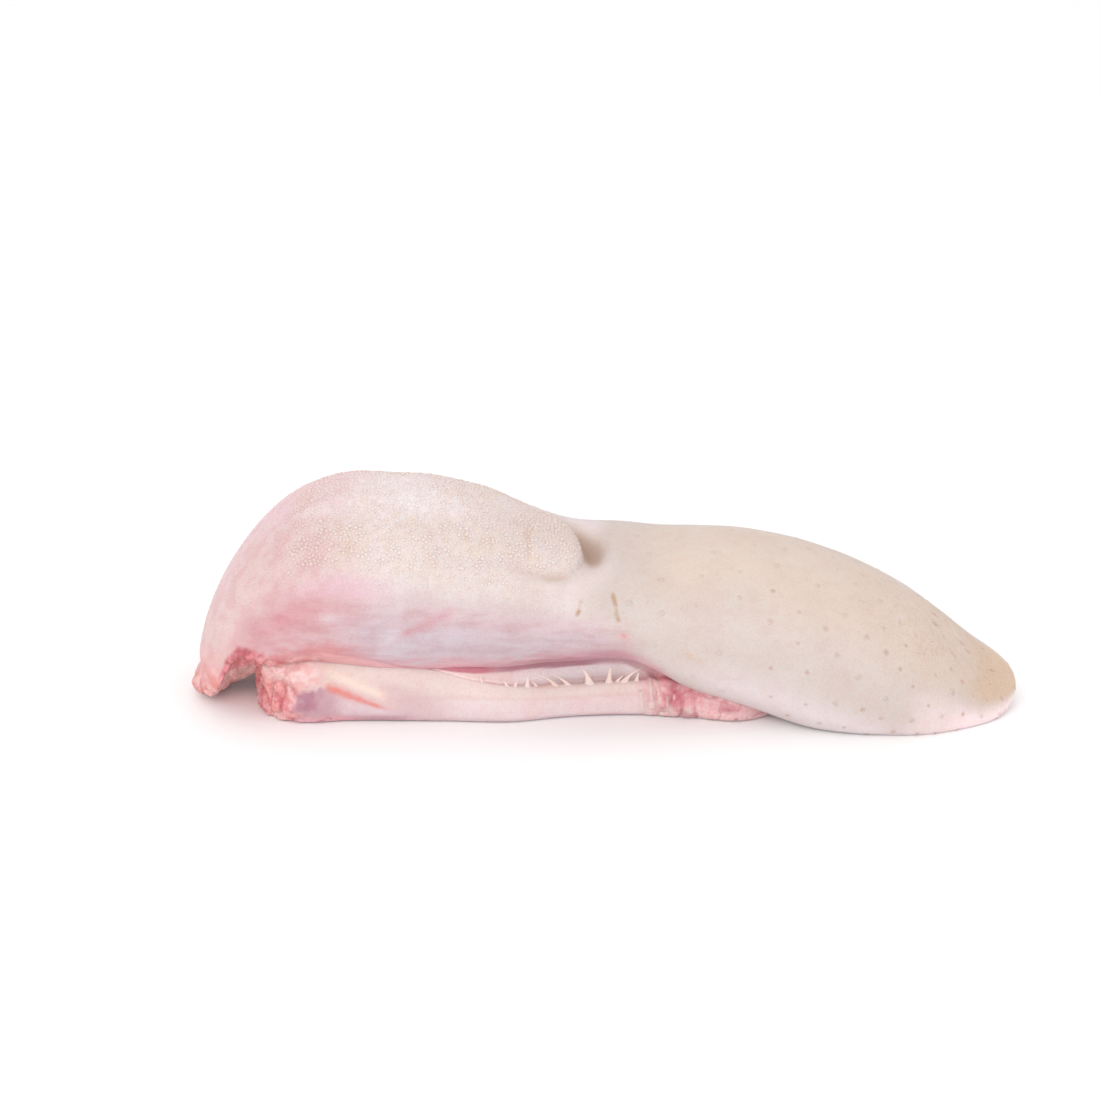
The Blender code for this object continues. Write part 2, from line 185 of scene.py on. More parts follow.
def noiseFields(points, noises):
    # cloud of the points for each (size, seed, squeeze of the points along X, Y and Z)
    return {name: cloud(points * (squeeze or 1), size, seed)
            for name, (size, seed, *squeeze) in noises.items()}


def addZones(fields, zones):
    # Each zone is the product of its factors, which may read the zones before it.
    for name, factors in zones.items():
        fields[name] = product(factors, fields)
    return fields


def zonedTint(points, settings, **fields):
    # The ground colour, with each layer of (colour, factors) painted over it by the factors' product. They
    # read x and z in millimetres, noises, lines along x, and zones.
    fields.update(noiseFields(points, settings["noises"]), x=points[..., 0] * 1000, z=points[..., 2] * 1000)
    for name, stations in settings["lines"].items():
        fields[name] = smoothLine(fields["x"], stations)
    addZones(fields, settings["zones"])
    tint = np.zeros(points.shape) + ink(*settings["colours"]["ground"])
    for colour, *factors in settings["layers"]:
        tint = paint(tint, ink(*settings["colours"][colour]), product(factors, fields))
    return tint, fields


def loftFaces(rings, sides):
    # Faces between rings of points, and a fan to a pole at each end. The poles come after the rings.
    ring, side = np.meshgrid(np.arange(rings - 1), np.arange(sides), indexing="ij")
    here, there = ring * sides + side, ring * sides + (side + 1) % sides
    walls = np.stack([here, here + sides, there + sides, there], axis=-1).reshape(-1, 4)
    turn = np.arange(sides)
    following = (turn + 1) % sides
    last = (rings - 1) * sides
    first = np.stack([np.full(sides, rings * sides), turn, following], axis=-1)
    final = np.stack([np.full(sides, rings * sides + 1), last + following, last + turn], axis=-1)
    return [walls, np.concatenate([first, final])]


def repeated(groups, size, count):
    # The same faces for each of count shapes of this many corners.
    shift = np.arange(count)[:, None, None] * size
    return [(group[None] + shift).reshape(-1, group.shape[1]) for group in groups]


def facingOut(corners, groups):
    # Turns all faces round where six times the volume, the sum of a . (b x c), is negative.
    volume = 0
    for group in groups:
        for k in range(1, group.shape[1] - 1):
            a, b, c = (corners[group[:, n]] for n in (0, k, k + 1))
            volume += np.einsum("ij,ij->", a, np.cross(b, c))
    return groups if volume > 0 else [group[:, ::-1] for group in groups]


def addPiece(name, corners, groups, tint, shares, material):
    # A mesh from whole arrays, kept inside the CAD's box, with its colour and each share as attributes.
    corners = np.clip(corners, cadBox[0], cadBox[1]).astype(np.float32)
    groups = facingOut(corners.astype(float), groups)
    mesh = bpy.data.meshes.new(name)
    mesh.vertices.add(len(corners))
    mesh.vertices.foreach_set("co", corners.ravel())
    mesh.loops.add(sum(group.size for group in groups))
    mesh.loops.foreach_set("vertex_index", np.concatenate([g.ravel() for g in groups]).astype(np.int32))
    counts = np.concatenate([np.full(len(group), group.shape[1]) for group in groups])
    mesh.polygons.add(len(counts))
    starts = np.concatenate([[0], np.cumsum(counts)[:-1]])
    mesh.polygons.foreach_set("loop_start", starts.astype(np.int32))
    mesh.update(calc_edges=True)
    mesh.shade_smooth()
    colour = mesh.attributes.new("tint", "FLOAT_COLOR", "POINT")
    colour.data.foreach_set("color", np.column_stack([tint, np.ones(len(tint))]).astype(np.float32).ravel())
    for key, values in shares.items():
        share = mesh.attributes.new(key, "FLOAT", "POINT")
        share.data.foreach_set("value", np.clip(values, 0, 1).astype(np.float32))
    mesh.materials.append(material)
    piece = bpy.data.objects.new(name, mesh)
    bpy.context.scene.collection.objects.link(piece)
    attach(piece, "root")
    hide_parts("beef_tongue")
    mesh.calc_loop_triangles()
    print(name, len(mesh.loop_triangles), "triangles")


def gridNormals(points):
    # Step round the section x step along it, of length 1.
    along = np.gradient(points, axis=0)
    around = np.roll(points, -1, axis=1) - np.roll(points, 1, axis=1)
    normal = np.cross(around, along)
    return normal / np.maximum(np.linalg.norm(normal, axis=-1, keepdims=True), 1e-12)


def readAt(field, row, column):
    # Value between four grid points, each weighted by its closeness. The columns go round.
    i, j = row.astype(int), column.astype(int)
    s, t = row - i, column - j
    across = (j + 1) % field.shape[1]
    if field.ndim == 3:
        s, t = s[:, None], t[:, None]
    near = field[i, j] * (1 - t) + field[i, across] * t
    return near * (1 - s) + (field[i + 1, j] * (1 - t) + field[i + 1, across] * t) * s


def farApart(spots, gaps):
    # Keeps each spot in turn that is half the sum of their gaps from all kept before it.
    width = gaps.max()
    cells, kept = {}, []
    around = list(np.ndindex(3, 3, 3))
    for i, (a, b, c) in enumerate(np.floor(spots / width).astype(int)):
        near = [k for u, v, w in around for k in cells.get((a + u - 1, b + v - 1, c + w - 1), ())]
        if near:
            distance = np.linalg.norm(spots[near] - spots[i], axis=1)
            if (distance < (gaps[near] + gaps[i]) / 2).any():
                continue
        kept.append(i)
        cells.setdefault((a, b, c), []).append(i)
    return np.array(kept)


def scatter(grid, wanted, gap, tries, rng):
    # Random places on the grid, drawn by area times wanted, that keep their gaps.
    points = grid["points"]
    along = points[1:] - points[:-1]
    around = np.roll(points, -1, axis=1)[:-1] - points[:-1]
    area = np.linalg.norm(np.cross(along, around), axis=-1) * wanted[:-1]
    cell = rng.choice(area.size, tries, p=area.ravel() / area.sum())
    row, column = np.unravel_index(cell, area.shape)
    row, column = row + rng.random(tries) * 0.999, column + rng.random(tries) * 0.999
    kept = farApart(readAt(points, row, column), readAt(gap, row, column))
    return row[kept], column[kept]


# The muscle: its form is the CAD's, from the same lines.
muscle = dict(
    rootEnd=-0.158, tipEnd=0.16, shift=(0.0002, 0.0007, 0.0),
    halfWidth=[(-160, 44), (-120, 47), (-80, 47.5), (-40, 45), (0, 40), (40, 40.5), (80, 41.5),
               (120, 41.5), (160, 40)],
    middleY=[(-160, -2), (-135, 3), (-100, 4), (-40, 2), (0, -2), (60, -8), (100, -13.5), (130, -15.5),
             (160, -15)],
    topZ=[(-160, 79), (-125, 78.5), (-105, 78), (-85, 76.2), (-65, 75.5), (-50, 72.8), (-30, 67.4),
          (-8, 63), (20, 62.8), (60, 63.8), (88, 57), (115, 44), (132, 30), (146, 18.4), (160, 13)],
    bottomZ=[(-160, 0), (-146, 2), (-128, 14), (-112, 19), (-85, 18), (-40, 19.8), (-10, 24), (10, 25.4),
             (21, 20), (31, 13.5), (46, 8), (67, 1.5), (90, -4), (120, -7), (145, -1), (160, 2)],
    lean=[(-160, 4), (-100, 6), (-40, 8), (0, 9), (60, 12), (110, 20), (160, 24)],
    rootReach=0.064, rootTopPower=1.98, rootSidePower=2.5,
    rootEndZ=0.0055, rootBottomReach=0.01, rootBottomPower=2.0,
    tipReach=0.092, tipPower=2.1,
    tipEndZ=0.009, tipTopReach=0.03, tipBottomReach=0.055, tipBottomPower=2.0,
    topRound=2.15, bottomRound=2.4, widestShare=0.42, softEdge=0.003, topClear=0.0006, topEdge=0.0025,
    uneven=0.0005, widest=0.0475, unevenWaves=[(0.071, 2, 0.4), (0.043, 3, 2.1), (0.029, 5, 4.0)],
    sections=380, points=256, endGap=0.0003, endCrowd=0.02,
    crowds=[(-0.006, 0.014, 1.8), (-0.142, 0.014, 1.0)],
)
pad = dict(
    rise=[(-160, 7.5), (-60, 7.5), (-30, 5.8), (0, 5.2)],
    noseX=-0.0078, noseLength=0.022, middle=-0.007, halfWidth=0.02, rearWider=0.012, rearX=-0.1,
    power=2.5, crownPower=3.0, clearFrom=-0.048, clearTo=-0.01, fadeFrom=-0.08, fadeTo=-0.158,
    upperFrom=-0.05, upperTo=0.25, hidden=0.02,
    hollowDepth=0.0068, hollowAhead=0.0038, hollowWide=0.0056, hollowMiddle=-0.001, hollowLong=0.014,
    frontFrom=0.45, frontTo=0.95, grooveDepth=0.001, grooveAhead=0.001, grooveWide=0.0018,
    # In millimetres: painted tan shade that starts at the nose's edge and fades ahead of it, and a thin
    # line of painted shade that runs on behind.
    marks=dict(
        inside=["upper", plus(["clear", ("ahead", 0.5, -1.5)], ["broad", ("turn", 68, 44)])],
        shade=[("shown", -0.4, 0.9), ("shown", 11.5, 2), ("forward", 0.1, 0.7), spot(across=(2, 17))],
        line=["clear", spot(shown=(0.7, 0.9)), ("forward", 0.8, 0.45), ("x", -36, -14)]),
)
root = dict(
    archZ=[(-160, 5.5), (-149, 6.5), (-144, 18), (-139, 26.2), (-133, 26.2), (-126, 22), (-117, 18.5),
           (-104, 16), (-88, 0)],
    archNearY=-0.027, archFarY=0.003, lipFrom=-0.15, lipTo=-0.158,
    lipOut=0.0022, lipZ=0.0035, lipTall=0.006, lipUneven=0.35, lipWave=0.0021,
    pinchIn=0.0018, pinchZ=0.0135, pinchTall=0.004,
)
# Fine relief on the muscle, and two slits on each side as (x, degrees) from end to end.
relief = dict(
    tornDepth=0.0015, tornLevel=0.6, tornSize=0.0042, tornFineDepth=0.0005, tornFineSize=0.0017,
    tornEdgeZ=0.001,
    slits=[((-0.0084, -50.0), (-0.0099, -62.0)), ((0.0031, -44.0), (0.0054, -67.0)),
           ((-0.0100, 54.0), (-0.0078, 63.0)), ((0.0022, 48.0), (0.0041, 61.0))],
    slitWide=0.00070, slitLipAway=0.0015, slitEnd=2.5, slitStart=1.0, slitWander=0.0005,
    slitWanderSize=0.0022, slitBreakSize=0.0023, slitLeast=0.25, slitBreak=(-0.45, 0.05),
    noises=dict(swell=(0.017, 3), fibres=(0.003, 4, 1 / 6, 1, 1), pebbles=(0.0021, 5), ragged=(0.0042, 10),
                tattered=(0.002, 11)),
    # In millimetres and degrees from the top: the bare side and the height of the grain, then the arch
    # with its ragged edge, then torn flesh.
    grain=dict(
        lateral=[("turn", 58, 74), ("x", -150, -125), ("x", 30, -10)],
        grain=[plus([0.45, "swell", ("half", 0, 4)], [0.10, "fibres", "lateral"],
                    [0.18, "pebbles", ("x", 10, -30)], [-0.6, "cut"], [0.18, "lips"])]),
    arch=dict(
        arch=[edge(-1.5, 2, ceiling=1, z=-1), ("ceiling", 0.5, 3)],
        fray=[edge(6, 3.4, z=1, ceiling=-1, ragged=1.6, tattered=0.9), ("ceiling", 8, 14)]),
    torn=dict(torn=[plus(["arch"], ["fray"], [("z", 22, 8), ("x", -146, -153)])]),
)


def padShape(x, across, half, sine):
    # Crown (1 - r^3)^(1/3) of r, the distance from the nose's centre by the power 2.5, over a broad rise.
    noseStart = pad["noseX"] - pad["noseLength"]
    wide = pad["halfWidth"] + pad["rearWider"] * step(noseStart, pad["rearX"], x)
    along = np.maximum(x - noseStart, 0) / pad["noseLength"]
    aside = np.abs((across - pad["middle"]) / wide)
    radius = np.maximum((along ** pad["power"] + aside ** pad["power"]) ** (1 / pad["power"]), 1e-6)
    crown = dome(radius, pad["crownPower"])
    broad = 1 - (across / half) ** 2
    clear = step(pad["clearFrom"], pad["clearTo"], x)
    upper = step(pad["upperFrom"], pad["upperTo"], sine)
    raised = (broad + (crown - broad) * clear) * upper * (1 - step(pad["fadeFrom"], pad["fadeTo"], x))
    ahead = (radius - 1.0) * pad["noseLength"]
    front = step(pad["frontFrom"], pad["frontTo"], along / radius)
    hollow = bump(ahead, pad["hollowAhead"], pad["hollowWide"]) * front * upper
    hollow = hollow * bump(across, pad["hollowMiddle"], pad["hollowLong"])
    groove = bump(ahead, pad["grooveAhead"], pad["grooveWide"]) * clear * (1 - front) * upper
    height = lineOf(x, pad["rise"]) * raised - pad["hollowDepth"] * hollow - pad["grooveDepth"] * groove
    shown = ahead * upper + pad["hidden"] * (1 - upper)
    fields = dict(x=x * 1000, across=across * 1000, forward=along / radius, clear=clear, broad=1 - clear,
                  upper=upper, turn=np.degrees(np.arccos(sine)), ahead=ahead * 1000, shown=shown * 1000,
                  hollow=hollow, groove=groove)
    return height, addZones(fields, pad["marks"])


def slitMarks(x, side, here):
    # For each slit, exp(-(distance from its line / width)^2) between its ends, with a lip on each side.
    # Its line wanders by noise, and other noise leaves gaps in it.
    wander = relief["slitWander"] * cloud(here, relief["slitWanderSize"], 8)
    whole = step(*relief["slitBreak"], cloud(here, relief["slitBreakSize"], 9))
    whole = relief["slitLeast"] + (1 - relief["slitLeast"]) * whole
    cut, lips = 0, 0
    for (startX, start), (endX, end) in relief["slits"]:
        share = (side - start) / (end - start)
        away = x - (startX + (endX - startX) * share) + wander
        low, high = min(start, end), max(start, end)
        within = step(low - relief["slitEnd"], low + relief["slitStart"], side)
        within = within * step(high + relief["slitEnd"], high - relief["slitStart"], side)
        cut = cut + bump(away, 0, relief["slitWide"]) * within * whole
        lips = lips + bump(np.abs(away), relief["slitLipAway"], relief["slitWide"]) * within
    return cut, lips


def muscleAt(x, angle):
    # Section of powers 2.15 above and 2.4 below, |y/a|^p + |z/b|^p = 1, carried along X and leaned over.
    toRoot = (muscle["rootEnd"] + muscle["rootReach"] - x) / muscle["rootReach"]
    toTip = (x - muscle["tipEnd"] + muscle["tipReach"]) / muscle["tipReach"]
    half = lineOf(x, muscle["halfWidth"])
    half = half * dome(toRoot, muscle["rootSidePower"]) * dome(toTip, muscle["tipPower"])
    rootZ, tipZ = muscle["rootEndZ"], muscle["tipEndZ"]
    top = rootZ + (lineOf(x, muscle["topZ"]) - rootZ) * dome(toRoot, muscle["rootTopPower"])
    low = (muscle["rootEnd"] + muscle["rootBottomReach"] - x) / muscle["rootBottomReach"]
    bottom = rootZ + (lineOf(x, muscle["bottomZ"]) - rootZ) * dome(low, muscle["rootBottomPower"])
    top = tipZ + (top - tipZ) * dome((x - muscle["tipEnd"]) / muscle["tipTopReach"] + 1, muscle["tipPower"])
    low = (x - muscle["tipEnd"]) / muscle["tipBottomReach"] + 1
    bottom = tipZ + (bottom - tipZ) * dome(low, muscle["tipBottomPower"])
    middle = bottom + muscle["widestShare"] * (top - bottom)
    cosine, sine = np.cos(angle), np.sin(angle)
    power = np.where(sine >= 0, muscle["topRound"], muscle["bottomRound"])
    ray = (np.abs(cosine) ** power + np.abs(sine) ** power) ** (-1 / power)
    across = half * ray * cosine
    height = np.where(sine >= 0, top - middle, middle - bottom) * ray * sine
    rise, marks = padShape(x, across, half, sine)
    height = height + rise
    # Degrees round the section from the top, below 0 on the near side.
    side = (90 - np.degrees(angle) + 180) % 360 - 180
    turn = np.abs(side)
    lean = np.radians(smoothLine(x * 1000, muscle["lean"]))
    y = lineOf(x, muscle["middleY"]) + across * np.cos(lean) - height * np.sin(lean)
    z = middle + across * np.sin(lean) + height * np.cos(lean)
    here = np.stack([x, y, z], axis=-1)
    marks["cut"], lips = slitMarks(x, side, here)
    marks.update(noiseFields(here, relief["noises"]), turn=turn, side=side, half=half * 1000, lips=lips)
    grain = addZones(marks, relief["grain"])["grain"] / 1000
    swell = 1 + muscle["uneven"] * waves(x, angle, muscle["unevenWaves"]) / muscle["widest"]
    across = across * swell + grain * cosine
    height = height * swell + grain * sine
    y = lineOf(x, muscle["middleY"]) + across * np.cos(lean) - height * np.sin(lean)
    z = middle + across * np.sin(lean) + height * np.cos(lean)
    # The arch and the surface that it lies on cut the underside.
    nearSide = 1 - step(root["archNearY"], root["archFarY"], y)
    ceiling = np.maximum(lineOf(x, root["archZ"]) * nearSide, 0.0)
    marks.update(z=z * 1000, ceiling=ceiling * 1000, nearSide=nearSide)
    addZones(marks, relief["arch"])
    z = softMax(z, ceiling, muscle["softEdge"])
    atRoot = step(root["lipFrom"], root["lipTo"], x)
    lip = root["lipOut"] * bump(z, root["lipZ"], root["lipTall"])
    lip = lip * (1 + root["lipUneven"] * np.sin(y / root["lipWave"]))
    pinch = root["pinchIn"] * bump(z, root["pinchZ"], root["pinchTall"])
    points = np.stack([x - (lip - pinch) * atRoot, y, z], axis=-1)
    # Torn relief on the arch and the lower rim of the root.
    marks.update(z=z * 1000, lumps=lumped(points, relief["tornSize"], 6))
    marks["torn"] = np.clip(addZones(marks, relief["torn"])["torn"], 0, 1)
    tear = relief["tornDepth"] * (marks["lumps"] - relief["tornLevel"])
    tear = tear + relief["tornFineDepth"] * cloud(points, relief["tornFineSize"], 7)
    away = np.stack([0 * cosine, cosine, sine], axis=-1)
    points = points + away * (tear * marks["torn"] * step(0, relief["tornEdgeZ"], z))[..., None]
    points[..., 2] = np.maximum(points[..., 2], 0.0)
    points[..., 2] = -softMax(-points[..., 2], muscle["topClear"] - cadBox[1][2], muscle["topEdge"])
    return points, marks


# Torn flesh on both parts: patches of four colours, the dark one painted shade in the creases between its
# lumps; it also colours dark spots.
torn = dict(
    colours=dict(pale=(230, 200, 198), salmon=(222, 160, 156), rose=(210, 124, 134), dark=(168, 80, 92)),
    noises=dict(patches=(0.0032, 61), flecks=(0.0013, 62)),
)


def tornLayers(zone):
    # Each patch is where the sum of two sizes of noise is high or low; the dark one is painted shade where
    # the lumps sink into creases.
    return [("salmon", zone), ("rose", zone, 0.85, edge(0, 0.5, patches=1, flecks=0.6)),
            ("pale", zone, 0.85, edge(0.15, 0.65, flecks=0.7, patches=-1, lumps=0.3)),
            ("dark", zone, 0.45, edge(0.12, 0.03, lumps=1, flecks=0.06))]


# The muscle's looks. Each layer is a soft patch in x and z, in millimetres, and in degrees from the top
# (turn) or round it (side, below 0 on the near side). Noise moves its edges.
skin = dict(
    colours=dict(
        torn["colours"], ground=(203, 191, 186), bladeTop=(212, 196, 185), tipBrown=(207, 184, 163),
        lowRim=(219, 208, 210), padCream=(221, 207, 206), padYellow=(222, 207, 195),
        humpLeft=(217, 188, 187), humpGrain=(212, 170, 174), topPink=(230, 200, 207),
        sideMid=(205, 182, 188), sidePink=(203, 149, 154), lavender=(198, 185, 193),
        mauve=(198, 169, 171), crease=(219, 168, 177), lowPink=(212, 149, 151), paleSpot=(218, 206, 213),
        streakPink=(200, 154, 161), streakPale=(212, 203, 210), hollow=(175, 149, 134),
        shade=(197, 175, 160), slit=(184, 148, 116), redSpot=(214, 132, 134), rim=(220, 154, 156),
        rimOrange=(222, 135, 120), rimPale=(234, 202, 196), tear=(218, 142, 149),
        archPale=(255, 226, 220), archRed=(255, 206, 204), archDark=(250, 178, 186),
        archFoot=(180, 122, 124), underside=(222, 192, 188), padCool=(226, 214, 216),
        humpTop=(237, 228, 230), tipLow=(244, 224, 227), padPink=(222, 186, 198), stroke=(206, 176, 150),
        tipGrain=(217, 199, 195), creaseMauve=(172, 124, 146), tipDot=(172, 128, 112),
        hemPale=(227, 174, 177), rosy=(186, 108, 118), creaseDark=(174, 121, 134),
        creaseRose=(225, 173, 186)),
    noises=dict(
        torn["noises"], drift=(0.012, 21), fine=(0.0045, 22), sway=(0.014, 23), coarse=(0.003, 24),
        spots=(0.0021, 25), cool=(0.019, 26), strokes=(0.0014, 27, 1.0, 0.24, 0.24), tipNoise=(0.0017, 28),
        blotNoise=(0.0016, 29)),
    # Degrees from the top along three lines: the painted dark rose crease shade, a pink streak and a painted
    # pale sheen behind it.
    lines=dict(
        roseLine=[(-106.5, 107), (-97.5, 110), (-89.9, 112), (-82.6, 117), (-75.2, 122), (-69.5, 126.5),
                  (-60, 128), (-50, 128), (-43, 125)],
        pinkLine=[(-81.5, 91.179), (-53, 67.316)], sheenLine=[(-87, 110.667), (-73.5, 63.867)]),
    zones=dict(
        u=[mix(x=1, drift=4)], a=[mix(turn=1, sway=5, fine=1.5)], nearby=[("side", 20, -20)],
        rear=[("u", 4, -12)],
        band=[edge(-80, -104, u=1, drift=6), ("u", -155, -140),
              edge(64, 34, side=1, drift=8), edge(-34, 16, side=1, fine=6, drift=12)],
        low=[("a", 56, 78), ("u", -146, -122), ("u", 22, -12)],
        # The lower margin is found by how far the surface faces down.
        margin=[lambda fields: fields["z"] > 12, mix(facesDown=1, fine=0.1, drift=0.06), ("x", 30, 20)],
        roseTop=[mix(roseLine=1, fine=1.2)],
        rim=[("u", -136, -149), edge(30, 10, z=1, fine=3)],
        join=[0.85, ("x", -139, -133), edge(-100, -112, x=1, fine=3),
              edge(30, 25.5, z=1, spots=1), mix(1, arch=-1)],
        frayed=["fray", ("x", -122, -130)],
        inArch=["arch", edge(0.95, 0.8, nearSide=1, fine=0.05)]),
    shares=dict(wet=[mix(arch=0.4, lateral=0.5, torn=0.2)], fibre=["lateral"],
                speckle=[("x", 85, 125), ("turn", 62, 20)], raw=["torn"]),
)
skin["layers"] = [
    # The blade and the tip, with its dark dots.
    ("bladeTop", ("a", 62, 18), ("u", -5, 30)),
    ("lowRim", ("a", 72, 104), ("u", 15, 60)),
    ("tipBrown",
     plus([("u", 85, 150), ("a", 70, 15), mix(0.62, drift=0.3)], [0.6, ("u", 138, 157), ("a", 74, 36)])),
    ("tipLow", 0.85, ("a", 42, 76), ("u", 104, 142)),
    ("tipGrain", 0.5, ("u", 100, 114), ("u", 148, 138), ("a", 38, 14), ("tipNoise", -0.5, 0.8)),
    *[("tipDot", 0.75, spot(x=(place, size), side=(degrees, size / 0.7))) for place, degrees, size in (
        (127.7, 21, 1), (127, 8, 1.3), (138.5, 12.5, 1.1), (140.2, 7, 0.9), (150, 0, 1), (60, 34, 1))],
    # The rear: cream pad, pinker towards the root, then the bare side below it.
    ("padCream", 0.9, "rear", ("a", 80, 45)),
    ("padCool", 0.8, "rear", ("a", 70, 40), ("cool", -0.1, 0.6)),
    ("padYellow", "rear", "inside", lambda fields: np.clip(0.3 + 0.55 * fields["fine"], 0, 0.6)),
    ("stroke", 0.55, ("strokes", 0.12, 0.6), ("u", -66, -54), ("u", -20, -28), ("side", -38, -30),
     ("side", -4, -14)),
    ("humpLeft", 0.9, ("u", -86, -122)),
    ("padPink", 0.9, spot(1.2, u=(-98, 18), a=(62, 9))),
    ("humpTop", 0.8, ("u", -128, -100), ("u", -30, -70), edge(30, 14, side=1, fine=4), ("side", -30, -14)),
    ("topPink", 0.9, "band"),
    ("humpGrain", 0.65, ("u", -88, -112), edge(-0.4, 0.6, coarse=1, fine=0.5, drift=0.4), mix(1, band=-0.8)),
    ("sideMid", 0.9, "low"),
    ("lavender", "low", ("a", 70, 90), ("u", -112, -80)),
    ("sidePink", spot(1.3, u=(-117, 21), a=(79, 16)), mix(0.84, fine=0.2)),
    # A painted highlight: a small pale bluish glint on the side.
    ("paleSpot", 0.6, spot(x=(-101, 6), turn=(79, 3.5))),
    ("sidePink", 0.5, "low", ("a", 92, 106), ("u", -78, -100)),
    ("mauve", 0.75, ("u", -34, -8), ("u", 22, 6), ("a", 84, 101)),
    # The lower margin, darkened by painted shade where it faces down into the crease, and the lines above it,
    # one a painted dark rose shade line along the crease.
    ("crease", 0.6, ("margin", 0.3, 0.7), ("x", -132, -112)),
    ("creaseRose", 0.85, ("margin", 0.66, 0.9), ("x", -110, -90)),
    # Painted shade in mauve and dark rose where the lower margin faces down into the crease.
    ("creaseMauve", 0.45, ("margin", 0.15, 0.55), spot(x=(-4, 17))),
    ("creaseDark", ("margin", 0.58, 0.8), ("x", -52, -20), edge(-16, 2, 0.74, 0.3, x=1)),
    ("lowPink", 0.75, ("margin", 0, 0.45), ("x", -138, -130), ("x", -86, -104)),
    ("streakPink", 0.75, spot(turn=(mix(pinkLine=1, fine=1.5), 3)), ("x", -81.5, -73.5), ("x", -53, -60.5)),
    # A painted pale sheen along a streak behind the pink one.
    ("streakPale", 0.45, spot(turn=("sheenLine", 15)), ("x", -87, -83.5), ("x", -73.5, -77)),
    ("hemPale", 0.75, edge(0, 3, turn=1, roseTop=-1), ("x", -112, -104), ("x", -66, -74)),
    # A painted dark rose shade line along the crease between the muscle and the strip.
    ("rosy", 0.8, spot(turn=("roseTop", 1.7)), ("x", -108, -101), ("x", -40, -48),
     plus([1], [-0.4, spot(x=(-80, 8))]), plus([edge(-92, -76, 0.35, 1, x=1)], [-0.3, ("x", -78, -68)])),
    # A tan blot, painted shade round the nose of the pad, the slits and one small red spot.
    ("stroke", "nearby", ("blotNoise", -0.6, 0.4),
     plus([spot(x=(32.2, 1.7), turn=(79, 4))], [0.5, spot(x=(35.2, 1.2), turn=(84, 2.5))])),
    # Painted shade in the groove and along the thin line under the pad's nose, then ahead of the nose,
    # deepest in the hollow.
    ("shade", mix(groove=0.2, line=0.85)),
    ("shade", "shade"),
    ("hollow", 0.95, "shade", ("hollow", 0.1, 0.75)),
    ("slit", 0.9, "cut"),
    ("redSpot", 0.45, "nearby",
     plus([spot(x=(7, 1.4), turn=(80.5, 2.6))], [0.35, spot(x=(7.8, 1.6), turn=(86, 8))])),
    # The root: mottled orange-pink rim, and torn flesh in the arch: red cut flesh darkened by painted shade
    # under its rim, paler below, and a painted shadow at its foot.
    ("rim", 0.9, "rim"),
    ("rimOrange", 0.75, "rim", edge(0.05, 0.6, fine=1, spots=0.4)),
    ("rimPale", 0.65, "rim", edge(0.05, 0.6, fine=-1, spots=0.6), ("z", 2, 4)),
    # Torn flesh with painted shade in the creases between its lumps.
    *tornLayers("join"),
    ("tear", "frayed", mix(0.85, fine=0.3)),
    ("dark", 0.6, "frayed", edge(0.05, 0.5, fine=1, spots=0.6)),
    ("archPale", "inArch"),
    ("archRed", "inArch", edge(-0.2, 0.45, fine=1, spots=0.5)),
    # Red cut flesh under the arch's rim, darkened by painted shade.
    ("archDark", "inArch", edge(12.8, 15.2, z=1, fine=1.8), mix(0.8, spots=0.4)),
    # A painted shadow at the foot of the arch's wall, near the floor.
    ("archFoot", 0.9, "inArch", edge(3.6, 1.4, z=1, spots=0.6)),
    ("underside", 0.8, ("turn", 128, 150), mix(1, arch=-1)),
]


# Noise that deepens the tint: (name, detail, roughness, from, to, the attribute that says where).
mottling = [("broad", 3, 0.5, 0.35, 0.7, None), ("middle", 4, 0.6, 0.45, 0.72, None),
            ("fine", 2, 0.5, 0.42, 0.68, None), ("fibre", 3, 0.6, 0.4, 0.68, "fibre"),
            ("speck", 2, 0.5, 0.56, 0.72, "speckle"), ("raw", 3, 0.6, 0.42, 0.62, "raw")]


